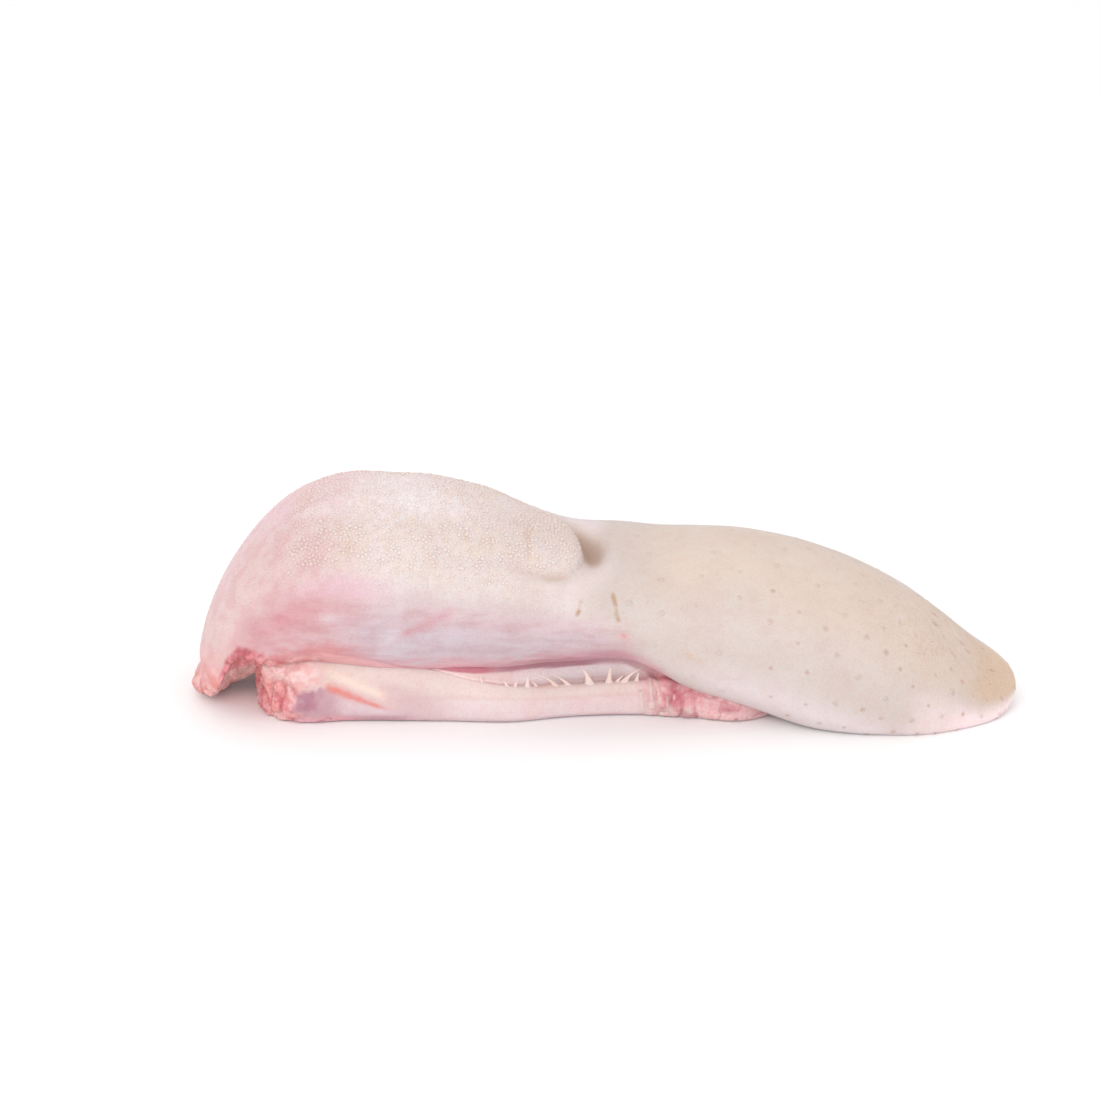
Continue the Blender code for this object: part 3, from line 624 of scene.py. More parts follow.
def fleshMaterial(name, look):
    # The tint, deepened by six kinds of noise, over soft wet flesh with two sizes of bump.
    material = bpy.data.materials.new(name)
    material.use_nodes = True
    tree = material.node_tree
    tree.nodes.clear()

    def node(kind, output, inputs, **settings):
        # A new node, each input linked to an output or set to a value.
        made = tree.nodes.new("ShaderNode" + kind)
        for key, value in settings.items():
            setattr(made, key, value)
        for key, value in inputs.items():
            if isinstance(value, bpy.types.NodeSocket):
                tree.links.new(value, made.inputs[key])
            else:
                made.inputs[key].default_value = value
        return made.outputs[output]

    def noise(size, detail, roughness, vector):
        # Noise of this size in metres.
        return node("TexNoise", "Fac", {"Vector": vector, "Scale": 1 / size, "Detail": detail,
                                        "Roughness": roughness})

    def ramp(source, low, high, fromValue, toValue):
        # (3 - 2t) t^2 from one value to the other, with t from 0 at low to 1 at high.
        return node("MapRange", "Result", {"Value": source, "From Min": low, "From Max": high,
                                           "To Min": fromValue, "To Max": toValue},
                    clamp=True, interpolation_type="SMOOTHSTEP")

    place = node("TexCoord", "Object", {})
    stretched = node("Mapping", "Vector", {"Vector": place, "Scale": (1 / look["fibreStretch"], 1, 1)})
    colour = node("Attribute", "Color", {}, attribute_name="tint")
    for key, detail, roughness, low, high, where in mottling:
        size, share, tint = look[key]
        source = noise(size, detail, roughness, stretched if key == "fibre" else place)
        factor = ramp(source, low, high, 0, share)
        if where:
            here = node("Attribute", "Fac", {}, attribute_name=where)
            factor = node("Math", "Value", {0: factor, 1: here}, operation="MULTIPLY")
        colour = node("Mix", 2, {"Factor": factor, 6: colour, 7: (*ink(*tint), 1)}, data_type="RGBA",
                      blend_type="MULTIPLY")
    rough = ramp(noise(look["roughSize"], 3, 0.5, place), 0.3, 0.7, look["roughLow"], look["roughHigh"])
    wet = node("Attribute", "Fac", {}, attribute_name="wet")
    normal = {}
    for size, depth, detail in look["bumps"]:
        height = noise(size, detail, 0.5, place)
        normal = {"Normal": node("Bump", "Normal", {"Strength": 1, "Distance": depth, "Height": height,
                                                    **normal})}
    flesh = node("BsdfPrincipled", "BSDF", {
        "Base Color": colour, "IOR": look["ior"], "Subsurface Weight": look["under"],
        "Roughness": node("Mix", 0, {"Factor": wet, 2: rough, 3: look["wetRough"]}, data_type="FLOAT"),
        "Subsurface Radius": look["underRadius"], "Subsurface Scale": look["underDepth"],
        "Coat Weight": look["coat"], "Coat Roughness": look["coatRough"], **normal})
    tree.links.new(flesh, tree.nodes.new("ShaderNodeOutputMaterial").inputs["Surface"])
    return material


# Each kind of mottling as (size, share, tint), and each bump as (size, depth, detail).
skinLook = dict(
    broad=(0.022, 0.4, (246, 236, 232)), middle=(0.0042, 0.25, (244, 230, 226)),
    fine=(0.0007, 0.3, (240, 224, 214)), fibre=(0.0034, 0.4, (236, 206, 210)), fibreStretch=4.0,
    speck=(0.0008, 0.55, (222, 200, 186)), raw=(0.0013, 0.5, (236, 182, 184)),
    roughSize=0.00714, roughLow=0.44, roughHigh=0.62, wetRough=0.26, ior=1.4,
    under=0.2, underDepth=0.003, underRadius=(1.0, 0.45, 0.3), coat=0.08, coatRough=0.3,
    bumps=[(0.0034, 0.00007, 3), (0.00055, 0.00008, 2)],
)

places = gathered(muscle["sections"], muscle["rootEnd"], muscle["tipEnd"], muscle["crowds"],
                  muscle["endGap"], muscle["endCrowd"])
angles = np.linspace(-math.pi, math.pi, muscle["points"], endpoint=False)
alongX, aroundAngle = np.meshgrid(places, angles, indexing="ij")
musclePoints, muscleMarks = muscleAt(alongX, aroundAngle)
shiftBy = np.array(muscle["shift"])
muscleNormals = gridNormals(musclePoints)
muscleTints, muscleMarks = zonedTint(musclePoints, skin, facesDown=-muscleNormals[..., 2], **muscleMarks)
muscleGrid = dict(points=musclePoints + shiftBy, normals=muscleNormals, tint=muscleTints)


def closedLoft(points, reach):
    # Rings as one list of corners, with a pole this far past the middle of each end ring.
    first, last = points[0].mean(axis=0), points[-1].mean(axis=0)
    poles = np.stack([first - (reach, 0, 0), last + (reach, 0, 0)])
    return np.concatenate([points.reshape(-1, 3), poles]), loftFaces(*points.shape[:2])


def withPoles(field):
    # Values for a loft's corners, with the end rings' means at its poles.
    flat = field.reshape(-1, *field.shape[2:])
    return np.concatenate([flat, field[:1].mean(axis=1), field[-1:].mean(axis=1)])


def addLoft(name, grid, settings, fields, material):
    # The grid as a piece, with each share as the product of its factors.
    corners, faces = closedLoft(grid["points"], muscle["endGap"])
    shares = {key: withPoles(product(factors, fields)) for key, factors in settings["shares"].items()}
    addPiece(name, corners, faces, withPoles(grid["tint"]), shares, material)


addLoft("tongue_body", muscleGrid, skin, muscleMarks, fleshMaterial("tongue_skin", skinLook))

# The softer tissue under the muscle: a strip with a ridge on each side and a recess above it.
tissue = dict(
    start=-0.1345, end=0.074, startReach=0.01, startPower=2.8, endReach=0.03, endPower=2.0,
    half=[(-134, 31), (-117, 41), (-98, 39.5), (-60, 38.5), (-35, 38), (-10, 31.2), (15, 28.5), (35, 30),
          (55, 33), (74, 30)],
    middleY=[(-134, 4), (-60, 2), (0, -1), (40, -4), (74, -6)],
    ridgeZ=[(-134, 18), (-117, 22), (-70, 21.5), (-48, 16), (-20, 13), (10, 13.5), (30, 15), (74, 10)],
    recess=[(-134, 0), (-70, 0), (-48, 0.5), (-34, 2.9), (-21, 5), (10, 5), (25, 1.8), (74, 0)],
    # Half a section from the middle of the base to the middle of the top, as rows of
    # (share of the half width, inset, share of the recess, share of the ridge height, height above it).
    rows=[(0, 0.0, 0, 0, 0.0), (0.5, 0.0, 0, 0, 0.0), (1, 0.0045, 0, 0, 0.0), (1, 0.0008, 0, 0.1, 0.0),
          (1, 0.0, 0, 0.35, 0.0), (1, 0.0012, 0, 0.72, 0.0), (1, 0.0035, 0, 1, 0.0),
          (1, 0.0043, 0.8, 1, 0.0006), (1, 0.0048, 1.2, 1, 0.0042), (1, 0.0085, 1, 0, 0.026),
          (1, 0.02, 0, 0, 0.031), (0, 0.0, 0, 0, 0.032)],
    endShare=0.25, tornSize=0.0046, tornSquash=(1.0, 1.0, 0.7),
    # Upright flaps of the torn front as (x, width, from z, to z).
    flaps=[(0.0152, 0.0007, 0.003, 0.01), (0.0186, 0.0006, 0.0075, 0.015),
           (0.0212, 0.0006, 0.007, 0.014), (0.025, 0.0008, 0.004, 0.009)],
    flapLean=0.12, flapEnd=0.001,
    noises=dict(tattered=(0.0016, 32), soft=(0.011, 33)),
    # In millimetres: the torn ends, the height of their lumps, a fleshy bridge up to the muscle, and the
    # whole relief with soft swellings, a faint lengthwise seam and the flaps.
    zones=dict(
        front=[("x", 10, 24)], rear=[("x", -108, -122)],
        ragged=[plus([1.9, mix(-0.6, lumps=1)], [0.6, "tattered"]),
                plus([0.55, "front", ("x", 56, 36)], ["rear"])],
        bridge=[3.2, spot(z=(21, 4.8)), ("x", -135, -128), ("x", -100, -112)],
        depth=[plus([("z", 0, 1.5), plus(
            ["ragged"], [0.3, "soft"], ["flaps"],
            [-0.18, spot(z=("seam", 0.6)), ("x", -62, -48), mix(1, front=-1)])], ["bridge"])]),
    sections=420, points=216, crowds=[(-0.122, 0.014, 0.8), (0.03, 0.02, 0.6)],
)
# The strip's own lines, as (x, z) on its outer wall in millimetres. The torn front is hidden above shelter.
stripLines = dict(
    seam=[(-60, 10.8), (-30, 9.8), (-5, 8.8), (10, 9.2)],
    streak=[(-112, 18.2), (-105.2, 15.2), (-99.9, 13), (-94.1, 10.5), (-88.2, 8.1), (-83.2, 6.3), (-78, 4.5)],
    membraneTop=[(-122, 10.5), (-116, 12.2), (-110, 14), (-105.2, 15), (-99.9, 12.8), (-94.1, 10.3),
                 (-88.2, 7.9), (-83.2, 6.1), (-78, 4.3)],
    wallTop=[(-66, 21.6), (-60, 20.7), (-38, 19.6), (-26, 19.3), (-15, 18.2), (-9, 18.2), (3, 19.1),
             (9, 18.7), (14.6, 17.2), (20, 16)],
    creamEdge=[(-114, 21.5), (-105, 19.5), (-95, 15), (-83.5, 10.2), (-76, 8)],
    shelter=[(5, 21), (21.9, 15.5), (37.2, 10), (51.8, 7), (74, 4)],
)


def underSection(x):
    # The corner rows of half a section at each x, as distances out and up.
    wide, ridge, recess = (lineOf(x, tissue[key]) for key in ("half", "ridgeZ", "recess"))
    return np.array([(share * wide - inset - recessShare * recess, ridgeShare * ridge + height)
                     for share, inset, recessShare, ridgeShare, height in tissue["rows"]])


def tissueAt(x, turn):
    # A cubic through the rows of each section, up one side for turn 0 to 1 and down the other for 1 to 2.
    rows = underSection(x)
    last = len(rows) - 1
    share = np.where(turn <= 1, turn, 2 - turn) * last
    i = np.clip(share.astype(int), 0, last - 1)
    t = share - i
    pick = [np.take_along_axis(rows, np.clip(i + k, 0, last)[None, None], 0)[0] for k in (-1, 0, 1, 2)]
    leave, arrive = (pick[2] - pick[0]) / 2, (pick[3] - pick[1]) / 2
    curve = leave * ((t - 2) * t * t + t) + arrive * ((t - 1) * t * t)
    out, up = pick[1] + (pick[2] - pick[1]) * (3 - 2 * t) * t * t + curve
    toStart = (tissue["start"] + tissue["startReach"] - x) / tissue["startReach"]
    toEnd = (x - tissue["end"]) / tissue["endReach"] + 1
    ends = dome(toStart, tissue["startPower"]) * dome(toEnd, tissue["endPower"])
    side = np.where(turn <= 1, -1.0, 1.0)
    y = lineOf(x, tissue["middleY"]) + side * out * ends
    z = np.maximum(up, 0) * (tissue["endShare"] + (1 - tissue["endShare"]) * ends)
    return np.stack([x, y, z], axis=-1)


def flapShares(x, z):
    # The sum over the leaning flaps of exp(-((x - place) / width)^2) between the ends of each.
    total = 0
    for place, wide, low, high in tissue["flaps"]:
        within = step(low - tissue["flapEnd"], low, z) * step(high + tissue["flapEnd"], high, z)
        total = total + bump(x + tissue["flapLean"] * (z - low), place, wide) * within
    return total


def tissueRelief(points):
    # Lumps where the tissue is torn, soft swellings elsewhere, and the strip's faint lengthwise line.
    x, z = points[..., 0], points[..., 2]
    lumps = lumped(points * np.array(tissue["tornSquash"]), tissue["tornSize"], 31)
    fields = dict(noiseFields(points, tissue["noises"]), x=x * 1000, z=z * 1000, lumps=lumps,
                  flaps=flapShares(x, z), seam=smoothLine(x * 1000, stripLines["seam"]))
    return addZones(fields, tissue["zones"])


# The strip's looks: zones by x and z on its outer wall, and by the share of the way up the section.
underSkin = dict(
    colours=dict(
        torn["colours"], ground=(207, 183, 185), stripLow=(221, 204, 205), stripTop=(222, 206, 200),
        stripPink=(221, 189, 189), seam=(214, 178, 178), hem=(212, 186, 194), recess=(255, 252, 253),
        recessDeep=(250, 222, 232), frontRed=(228, 176, 181), frontDeep=(186, 88, 104),
        frontPink=(229, 196, 198), frontPale=(218, 208, 201), speck=(170, 100, 112),
        recessTop=(182, 122, 138), recessRear=(227, 203, 201), recessLine=(196, 124, 136),
        recessFill=(255, 240, 234), recessFoot=(219, 181, 173), membrane=(193, 157, 164),
        membraneDeep=(170, 118, 138), membraneFoot=(222, 168, 178), membranePale=(220, 206, 211),
        ember=(229, 122, 103), streak=(218, 126, 114), creamEdge=(230, 213, 202)),
    noises=dict(
        torn["noises"], drift=(0.009, 41), middle=(0.0038, 42), fine=(0.0017, 43), specks=(0.0013, 44),
        strands=(0.0015, 45, 1.0, 1.0, 0.4), dots=(0.0021, 46)),
    lines=stripLines,
    zones=dict(
        wall=[edge(0.56, 0.61, up=1, drift=0.008)], gap=[mix(wallTop=1, z=-1, middle=0.3)],
        foot=[spot(up=(0.622, 0.02))], low=[edge(9, 4, z=1, drift=1)],
        nearX=[mix(x=1, fine=0.6)], nearZ=[mix(z=1, middle=0.5)],
        bridge=[("x", -133, -128), edge(-100, -112, x=1, fine=2), edge(13.5, 18.5, z=1, middle=1)],
        membrane=[edge(-119.8, -113.8, x=1, fine=2.2, middle=1.4), ("x", -68, -80),
                  edge(1, -0.8, z=1, membraneTop=-1, fine=0.9)],
        streaked=[("x", -106.8, -103.5), ("x", -80, -86)]),
    shares=dict(wet=[mix(membrane=1, front=0.5, rear=0.5)],
                raw=[mix(front=0.6, rear=1), mix(1, membrane=-1)]),
)
underSkin["layers"] = [
    ("stripLow", edge(0.6, -1.2, z=1, seam=-1), ("x", -75, -50)),
    ("stripTop", 0.6, edge(-0.4, 1, z=1, seam=-1), ("x", -85, -55)),
    ("seam", 0.5, spot(z=("seam", 0.7)), ("x", -62, -46)),
    # A painted mauve shadow line along the strip's foot on the floor.
    ("hem", 0.7, edge(2.6, 0.8, z=1, middle=0.8)),
    # The recess, with painted shade at its top and in a line under the muscle's edge, painted light filling
    # the groove at its foot, and painted shade at its foot between the horns.
    ("recess", "wall"),
    ("recessDeep", ("up", 0.68, 0.8)),
    ("recessRear", "wall", ("x", -20, -42)),
    # Painted shade at the top of the wall, just under the muscle's edge.
    ("recessTop", "wall", ("gap", 1.6, 0.8), ("x", -50, -36), edge(-8, 5, 0.85, 0.6, x=1)),
    # A painted shade line where the wall meets the muscle's underside.
    ("recessLine", ("up", 0.5, 0.55), ("gap", 1.1, 0.4), ("x", -74, -66), ("x", -36, -46)),
    # Painted light that fills the groove's shade at the wall's foot.
    ("recessFill", 0.9, "foot", ("x", -28, -40)),
    # Painted shade at the wall's foot between the horns.
    ("recessFoot", 0.3, "foot", ("x", -22, -10), ("x", 14, 8)),
    ("stripTop", 0.8, edge(0.4, 0.47, up=1, middle=0.01), ("up", 0.565, 0.54)),
    ("stripPink", 0.5, ("drift", -0.2, 0.7), ("up", 0.5, 0.4)),
    # The torn front: deep red under the muscle's edge, with painted shade just under that edge and in the
    # creases between its lumps, pink below, pale fat along its foot and flaps.
    ("frontPink", "front"),
    ("frontRed", "front", edge(-0.3, 0.4, middle=1, strands=0.7), edge(32, 50, 1, 0.55, x=1),
     mix(1, low=-0.5)),
    ("frontPale", "front", edge(-0.1, 0.5, fine=0.7, strands=-1), mix(0.32, low=0.6),
     edge(34, 43, 1, 0.35, x=1)),
    ("frontDeep", 0.9, "front", spot(x=(26.8, 4.6), z=(9, 5.2)), edge(-0.7, 0.1, strands=1, fine=0.4)),
    # Painted shade just under the muscle's overhanging edge.
    ("frontDeep", 0.22, "front", edge(4.6, 1.8, shelter=1, z=-1, middle=1)),
    # Painted shade in the creases between the lumps.
    ("frontDeep", 0.4, "front", edge(0.1, 0.03, lumps=1, fine=0.05)),
    ("frontPale", 0.7,
     lambda fields: flapShares((fields["x"] + 0.8 * fields["fine"]) / 1000, fields["z"] / 1000)),
    ("speck", 0.6, "front",
     plus([("dots", 0.3, 0.6), ("z", 4.2, 1.6)],
          *[[spot(nearX=(x, wide), nearZ=(z, 1.1))] for x, wide, z in ((47.5, 2.4, 5.2), (22, 1.8, 4.6),
                                                                       (30, 2.2, 3.4))])),
    # The root: torn pillar with painted shade in its creases, two redder lumps, an orange one and two dark
    # dots, and the bridge.
    *tornLayers("rear"),
    ("rose", "rear", mix(0.75, fine=0.4),
     plus([spot(x=(-117, 4.6), z=(5, 6.5))], [spot(x=(-131, 3.4), z=(3.5, 5))])),
    ("ember", "rear", mix(0.8, fine=0.4), spot(x=(-128.5, 3), z=(18, 3.5))),
    ("dark", 0.8, plus([spot(x=(-129.7, 1), z=(2.4, 1))], [spot(x=(-124.3, 1.2), z=(11.5, 0.9))])),
    ("pale", 0.9, "bridge"),
    ("salmon", 0.6, "bridge", edge(-0.05, 0.55, fine=1, middle=0.5)),
    # A smooth shiny membrane up to the streak, with a painted pale sheen towards its right end.
    ("membrane", "membrane"),
    ("membraneDeep", 0.8, "membrane", edge(-106.5, -111, x=1, fine=1.5), edge(4, 7.5, z=1, fine=1)),
    ("membraneFoot", 0.8, "membrane", edge(4.2, 1.6, z=1, fine=0.6), ("x", -90, -100)),
    # A painted pale sheen on the membrane's right part.
    ("membranePale", 0.9, "membrane", edge(-107, -97, x=1, drift=3), mix(0.8, middle=0.25), ("z", 2, 4.5)),
    ("creamEdge", "streaked", spot(z=(mix(1.2, creamEdge=1), 2.2))),
    ("streak", "streaked", mix(0.85, fine=0.2),
     spot(z=("streak", plus([edge(-83, -98, 0.6, 1.7, x=1)], [0.3, "middle"])))),
    # Dark specks along the strip's foot, painted contact shadow against the floor.
    ("speck", 0.6, ("specks", 0.55, 0.75), ("z", 4, 1.5), ("x", -60, -80), mix(1, rear=-1)),
]

tissueLook = dict(
    skinLook, broad=(0.016, 0.35, (248, 236, 233)), middle=(0.003, 0.25, (246, 226, 222)),
    fine=(0.0009, 0.25, (242, 218, 214)), roughSize=0.0051, roughLow=0.36, roughHigh=0.55, wetRough=0.16,
    under=0.25, coat=0.18, coatRough=0.22, bumps=[(0.0024, 0.00018, 3), (0.0006, 0.00008, 2)],
)
places = gathered(tissue["sections"], tissue["start"], tissue["end"], tissue["crowds"],
                  muscle["endGap"], muscle["endCrowd"])
alongX, turns = np.meshgrid(places, np.linspace(0, 2, tissue["points"], endpoint=False), indexing="ij")
tissuePoints = tissueAt(alongX, turns)
upShares = np.where(turns <= 1, turns, 2 - turns)
strip = tissueRelief(tissuePoints)
# The normals face out, which is up at the middle of the top, turn 1.
tissueNormals = gridNormals(tissuePoints)
tissueNormals = tissueNormals * np.sign(tissueNormals[..., 2][np.abs(turns - 1) < 0.2].sum())
tissuePoints = tissuePoints + tissueNormals * (strip["depth"] / 1000)[..., None]
tissuePoints[..., 2] = np.maximum(tissuePoints[..., 2], 0.0)
tissueTints, tissueMarks = zonedTint(tissuePoints, underSkin, up=upShares,
                                     **{key: strip[key] for key in ("front", "rear", "lumps")})
tissueGrid = dict(points=tissuePoints + shiftBy, tint=tissueTints)
addLoft("under_tissue", tissueGrid, underSkin, tissueMarks, fleshMaterial("soft_tissue", tissueLook))


def budShape(base, normal, radius, height, settings, rng):
    # Corner = base + normal * height * up + (across cos + ahead sin) * radius * out, for each (out, up).
    profile, sides = settings["profile"], settings["sides"]
    across = np.cross(normal, (1.0, 0.0, 0.0))
    across = across / np.maximum(np.linalg.norm(across, axis=1, keepdims=True), 1e-9)
    ahead = np.cross(across, normal)
    turn = 2 * math.pi * (np.arange(sides) / sides + rng.random((len(base), 1)))
    spoke = across[:, None] * np.cos(turn)[..., None] + ahead[:, None] * np.sin(turn)[..., None]
    out, up = np.array(profile).T
    tilt = normal + np.array(settings["lean"])
    axis = base[:, None] + tilt[:, None] * (height[:, None] * up)[..., None]
    rings = axis[:, 1:-1, None] + spoke[:, None] * (radius[:, None] * out[1:-1])[..., None, None]
    corners = np.concatenate([rings.reshape(len(base), -1, 3), axis[:, [0, -1]]], axis=1)
    shares = np.concatenate([np.repeat(up[1:-1], sides), up[[0, -1]]])
    faces = repeated(loftFaces(len(profile) - 2, sides), corners.shape[1], len(base))
    return corners, faces, np.clip(shares, 0, 1)


# Rounded papillae packed on the pad, and smaller ones over the rest of the rear.
papillae = dict(
    gap=0.00128, tries=70000, radius=0.00074, vary=0.2, tall=0.00042, sides=6,
    profile=[(0.0, -0.6), (0.98, -0.45), (0.8, 0.6), (0.0, 1.0)], lean=(-0.25, 0.0, 0.0),
    sizes=(0.55, 1.5), tip=(232, 220, 216), tipShare=0.55, yellow=(230, 212, 192), yellowFrom=0.1,
    yellowTo=0.85, yellowSize=0.011, yellowVary=0.35,
    # Their foot colour is painted shade in the gaps between them.
    foot=(206, 182, 174), footShare=0.5, leastSize=0.6, leastTall=0.25,
    wanted=["inside", ("x", -136, -112)],
)
granules = dict(
    papillae, gap=0.00135, tries=60000, radius=0.0005, vary=0.25, tall=0.0001,
    tipShare=0.12, footShare=0.12,
    wanted=[edge(72, 56, turn=1, ragged=6), ("x", -154.5, -146), ("x", -12, -26), mix(1, packed=-1),
            lambda fields: 1 - np.clip(2 * fields["groove"], 0, 1)],
)


def rooted(settings, wanted, gap, rng):
    # Scattered places, the muscle's points, normals and tint there, and a random size for each.
    row, column = scatter(muscleGrid, wanted, gap, settings["tries"], rng)
    there = [readAt(muscleGrid[key], row, column) for key in ("points", "normals", "tint")]
    return row, column, *there, rng.normal(1, settings["vary"], len(row)).clip(*settings["sizes"])


def addBuds(name, shape, faces, foot, tip, up, material):
    # Colour = foot + (tip - foot) * up
    colours = paint(foot, tip, up)
    addPiece(name, shape.reshape(-1, 3), faces, colours.reshape(-1, 3), {}, material)


def makePapillae(name, settings, seed):
    # Size, height and colour grow with how much of them is wanted at each place.
    rng = np.random.default_rng(seed)
    wanted = product(settings["wanted"], muscleMarks)
    gap = np.full(wanted.shape, settings["gap"])
    row, column, base, normal, tint, size = rooted(settings, wanted, gap, rng)
    share = readAt(wanted, row, column)
    size = size * (settings["leastSize"] + (1 - settings["leastSize"]) * share)
    tall = settings["tall"] * size * (settings["leastTall"] + (1 - settings["leastTall"]) * share)
    shape, faces, up = budShape(base, normal, settings["radius"] * size, tall, settings, rng)
    yellow = cloud(base, settings["yellowSize"], 52) + settings["yellowVary"] * rng.normal(size=len(base))
    patch = step(settings["yellowFrom"], settings["yellowTo"], yellow)
    tip = paint(ink(*settings["tip"]), ink(*settings["yellow"]), patch)
    tip = paint(tint, tip, settings["tipShare"] * share ** 2)
    # Painted shade at each papilla's foot, where the gaps between them lie.
    foot = paint(tint, ink(*settings["foot"]), settings["footShare"] * share)
    addBuds(name, shape, faces, foot[:, None], tip[:, None], up[None], papillaMaterial)


papillaLook = dict(
    skinLook, broad=(0.022, 0.25, (246, 236, 232)), fine=(0.0007, 0.2, (240, 224, 214)), roughLow=0.38,
    roughHigh=0.52, coat=0.12, under=0.0, bumps=[(0.0034, 0.0001, 3), (0.00055, 0.00005, 2)],
)
papillaMaterial = fleshMaterial("papilla_skin", papillaLook)
muscleMarks.update(packed=product(papillae["wanted"], muscleMarks), ragged=cloud(musclePoints, 0.01, 51))
makePapillae("pad_papillae", papillae, 61)
makePapillae("rear_granules", granules, 65)

# Button papillae, tan and a little raised, closer together towards the tip.
buttons = dict(
    gapRear=0.0122, gapTip=0.0066, tries=3500, radius=0.001, vary=0.15, sizes=(0.6, 1.3), tall=0.00012,
    sides=10, lean=(0, 0, 0),
    profile=[(0.0, -0.8), (0.9, -0.6), (1.0, 0.0), (0.8, 0.3), (0.5, 0.7), (0.22, 0.95), (0.0, 1.0)],
    tint=(180, 146, 118), pink=(190, 148, 132), share=0.9, leastShare=0.5, leastClear=0.4,
    wanted=[("x", 6, 35), ("turn", 118, 100), edge(15, 55, 0.35, 1, turn=1)],
    close=("x", 30, 140), clear=[("x", 30, 66), ("turn", 8, 34)],
)


def makeButtons(settings, seed):
    # Sparser and larger apart behind, and fainter there and at the top.
    rng = np.random.default_rng(seed)
    wanted = product(settings["wanted"], muscleMarks)
    closer = (settings["gapTip"] - settings["gapRear"]) * valueOf(settings["close"], muscleMarks)
    gap = settings["gapRear"] + closer
    row, column, base, normal, tint, size = rooted(settings, wanted, gap, rng)
    radius, tall = settings["radius"] * size, settings["tall"] * size
    shape, faces, up = budShape(base, normal, radius, tall, settings, rng)
    own = paint(ink(*settings["pink"]), ink(*settings["tint"]), rng.random(len(base)))
    there = {key: readAt(muscleMarks[key], row, column) for key in ("x", "turn")}
    clear = settings["leastClear"] + (1 - settings["leastClear"]) * product(settings["clear"], there)
    share = settings["share"] * rng.uniform(settings["leastShare"], 1.0, len(base)) * clear
    addBuds("button_papillae", shape, faces, tint[:, None], paint(tint, own, share)[:, None], up[None],
            papillaMaterial)


makeButtons(buttons, 62)

# Pointed papillae along the strip's ridge, as (x of the foot, height, degrees of lean along X, width).
horns = dict(
    near=[(-0.0462, 0.0026, -6, 1.0), (-0.0368, 0.0026, -14, 1.0), (-0.0336, 0.0022, 8, 1.0),
          (-0.029, 0.005, 2, 0.75), (-0.0256, 0.0024, -20, 0.9), (-0.0182, 0.0056, -36, 0.85),
          (-0.0134, 0.0058, -38, 0.8), (-0.0052, 0.0068, -12, 0.95), (0.0022, 0.0072, 2, 0.65),
          (0.0054, 0.003, 24, 0.9), (0.0082, 0.0062, 28, 0.85), (0.0128, 0.0036, 6, 0.9)],
    farShift=0.0021, farVary=0.2, sunk=0.0022, slim=0.118, taper=0.65, tip=0.00016, flare=1.1,
    flareFade=0.16, curl=0.75, out=14.0, inset=0.0042, rings=12, sides=10, flat=(1.3, 0.7), crowd=0.8,
    lastRing=0.985, footPole=0.0003, tipPole=0.4, pale=0.4, tint=(238, 222, 212), footTint=(228, 210, 203),
)


def makeHorns(settings, seed):
    # Radius = slim h (1 - s)^taper + tip + flare at the foot. The axis leans by tan(lean) s (1 + curl s) h.
    rng = np.random.default_rng(seed)
    near = np.array(settings["near"], float)
    far = near.copy()
    far[:, 0] += settings["farShift"]
    far[:, 1] *= rng.uniform(1 - settings["farVary"], 1 + settings["farVary"], len(far))
    x, height, lean, width = np.concatenate([near, far]).T
    side = np.repeat([-1.0, 1.0], len(near))
    out = lineOf(x, tissue["half"]) - settings["inset"]
    foot = np.stack([x, lineOf(x, tissue["middleY"]) + side * out, lineOf(x, tissue["ridgeZ"])], axis=1)
    share = np.linspace(0, 1, settings["rings"]) ** settings["crowd"] * settings["lastRing"]
    rise = share[None] * (height + settings["sunk"])[:, None] - settings["sunk"]
    s = np.clip(rise / height[:, None], 0, 1)
    bulk = settings["slim"] * (height * width)[:, None]
    radius = bulk * (1 - s) ** settings["taper"] + settings["tip"]
    radius = radius + bulk * settings["flare"] * np.exp(-s / settings["flareFade"])
    bend = s * (1 + settings["curl"] * s) * height[:, None]
    axisX = foot[:, :1] + np.tan(np.radians(lean))[:, None] * bend
    axisY = foot[:, 1:2] + (side * math.tan(math.radians(settings["out"])))[:, None] * bend
    axis = np.stack([axisX, axisY, foot[:, 2:] + rise], axis=-1)
    turn = np.linspace(0, 2 * math.pi, settings["sides"], endpoint=False)
    wide, thick = settings["flat"]
    spoke = np.stack([wide * np.cos(turn), thick * np.sin(turn), 0 * turn], axis=-1)
    rings = axis[:, :, None] + spoke * radius[..., None, None]
    above = axis[:, -1] + (axis[:, -1] - axis[:, -2]) * settings["tipPole"]
    poles = np.stack([axis[:, 0] - (0, 0, settings["footPole"]), above], axis=1)
    shape = np.concatenate([rings.reshape(len(x), -1, 3), poles], axis=1) + shiftBy
    faces = repeated(loftFaces(settings["rings"], settings["sides"]), shape.shape[1], len(x))
    low = np.zeros((len(x), 1))
    up = np.concatenate([np.repeat(s, settings["sides"], axis=1), low, low + 1], axis=1)
    addBuds("edge_papillae", shape, faces, ink(*settings["footTint"]), ink(*settings["tint"]),
            step(0.0, settings["pale"], up), fleshMaterial("edge_skin", hornLook))


hornLook = dict(tissueLook, under=0.0)
makeHorns(horns, 63)

# Plain pale floor, soft light from all round, and one large soft lamp above the camera.
studio = dict(floorSize=40.0, floorTint=(250, 250, 250), floorRough=0.9, skyStrength=1.02,
              lampPlace=(-0.45, -1.6, 1.0), lampSize=1.2, lampPower=12.0)


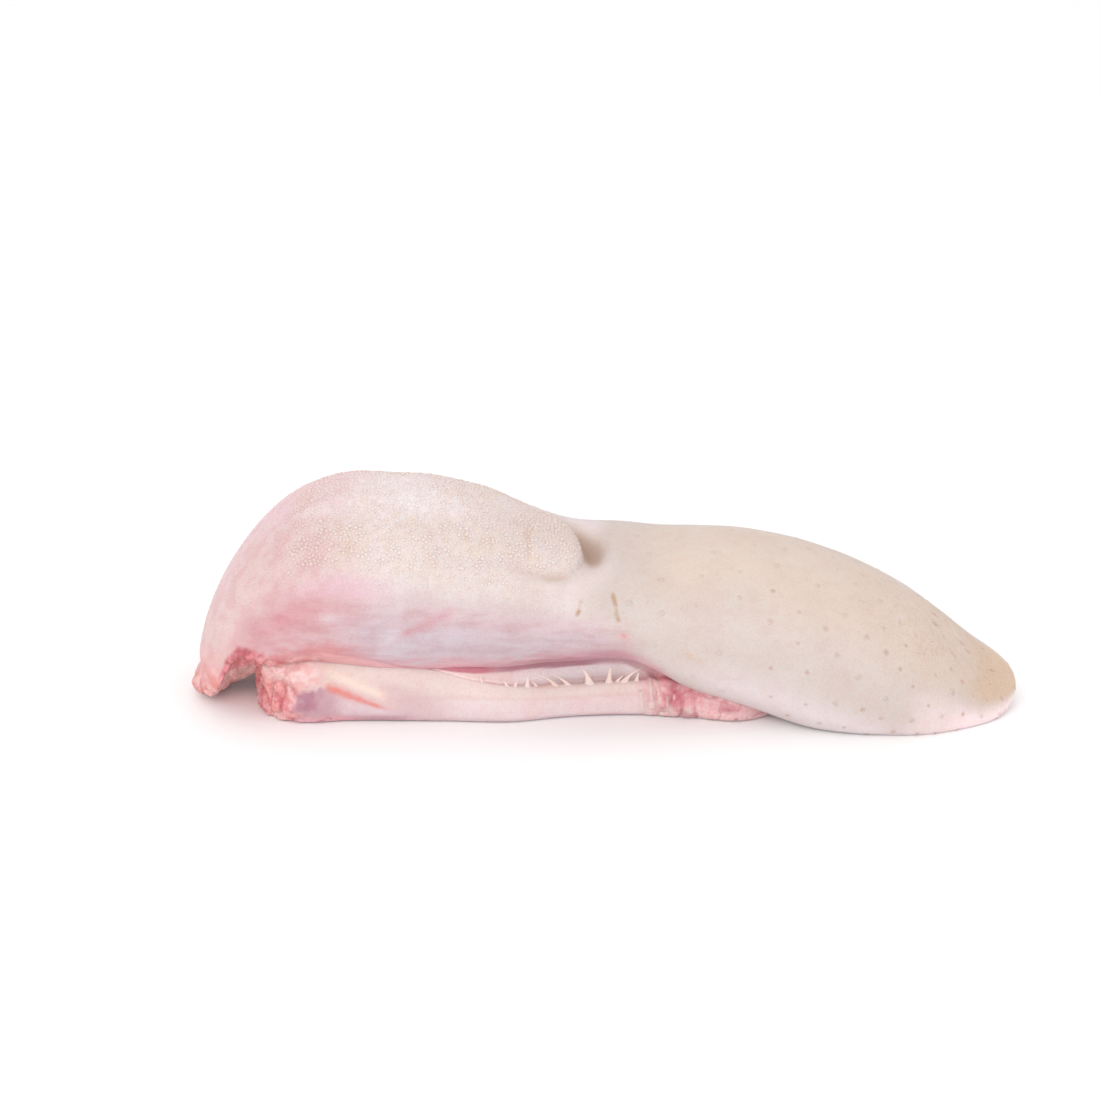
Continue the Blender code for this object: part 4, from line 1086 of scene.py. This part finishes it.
def makeStudio(settings):
    # The floor is a square at z = 0, the sky is even white, and the lamp points at the origin.
    half = settings["floorSize"] / 2
    mesh = bpy.data.meshes.new("floor")
    corners = [(-half, -half, 0), (half, -half, 0), (half, half, 0), (-half, half, 0)]
    mesh.from_pydata(corners, [], [(0, 1, 2, 3)])
    floor = bpy.data.objects.new("floor", mesh)
    material = bpy.data.materials.new("floor_white")
    material.use_nodes = True
    shader = material.node_tree.nodes["Principled BSDF"]
    shader.inputs["Base Color"].default_value = (*ink(*settings["floorTint"]), 1.0)
    shader.inputs["Roughness"].default_value = settings["floorRough"]
    mesh.materials.append(material)
    bpy.context.scene.collection.objects.link(floor)
    world = bpy.data.worlds.new("soft_sky")
    world.use_nodes = True
    sky = world.node_tree.nodes["Background"]
    sky.inputs["Color"].default_value = (1.0, 1.0, 1.0, 1.0)
    sky.inputs["Strength"].default_value = settings["skyStrength"]
    bpy.context.scene.world = world
    light = bpy.data.lights.new("soft_lamp", "AREA")
    light.size = settings["lampSize"]
    light.energy = settings["lampPower"]
    lamp = bpy.data.objects.new("soft_lamp", light)
    lamp.location = settings["lampPlace"]
    aim = -lamp.location
    lamp.rotation_euler = aim.to_track_quat("-Z", "Y").to_euler()
    bpy.context.scene.collection.objects.link(lamp)
    bpy.context.scene.view_settings.view_transform = "Standard"


makeStudio(studio)

# The photograph's view: a long lens from 20 degrees above, level with the side.
view = dict(lens=85.0, sensor=36.0, pixels=1100, elevation=20.0, metresPerPixel=0.0003879,
            target=(0.0002, -0.0033, 0.036), targetPixel=(602.5, 605.0))


def makeCamera(settings):
    # Place = target - distance * (ahead + aside * right + above * up), so the target lands on its pixel.
    tilt = math.radians(settings["elevation"])
    focal = settings["lens"] / settings["sensor"] * settings["pixels"]
    right = np.array((1.0, 0.0, 0.0))
    up = np.array((0.0, math.sin(tilt), math.cos(tilt)))
    ahead = np.array((0.0, math.cos(tilt), -math.sin(tilt)))
    middle = settings["pixels"] / 2
    aside = (settings["targetPixel"][0] - middle) / focal
    above = (middle - settings["targetPixel"][1]) / focal
    distance = focal * settings["metresPerPixel"]
    place = np.array(settings["target"]) - distance * (ahead + aside * right + above * up)
    data = bpy.data.cameras.new("camera")
    data.lens, data.sensor_width = settings["lens"], settings["sensor"]
    camera = bpy.data.objects.new("camera", data)
    turn = np.eye(4)
    turn[:3, :3] = np.stack([right, up, -ahead], axis=1)
    turn[:3, 3] = place
    camera.matrix_world = Matrix(turn.tolist())
    bpy.context.scene.collection.objects.link(camera)
    bpy.context.scene.camera = camera


makeCamera(view)
print("studio and camera set")
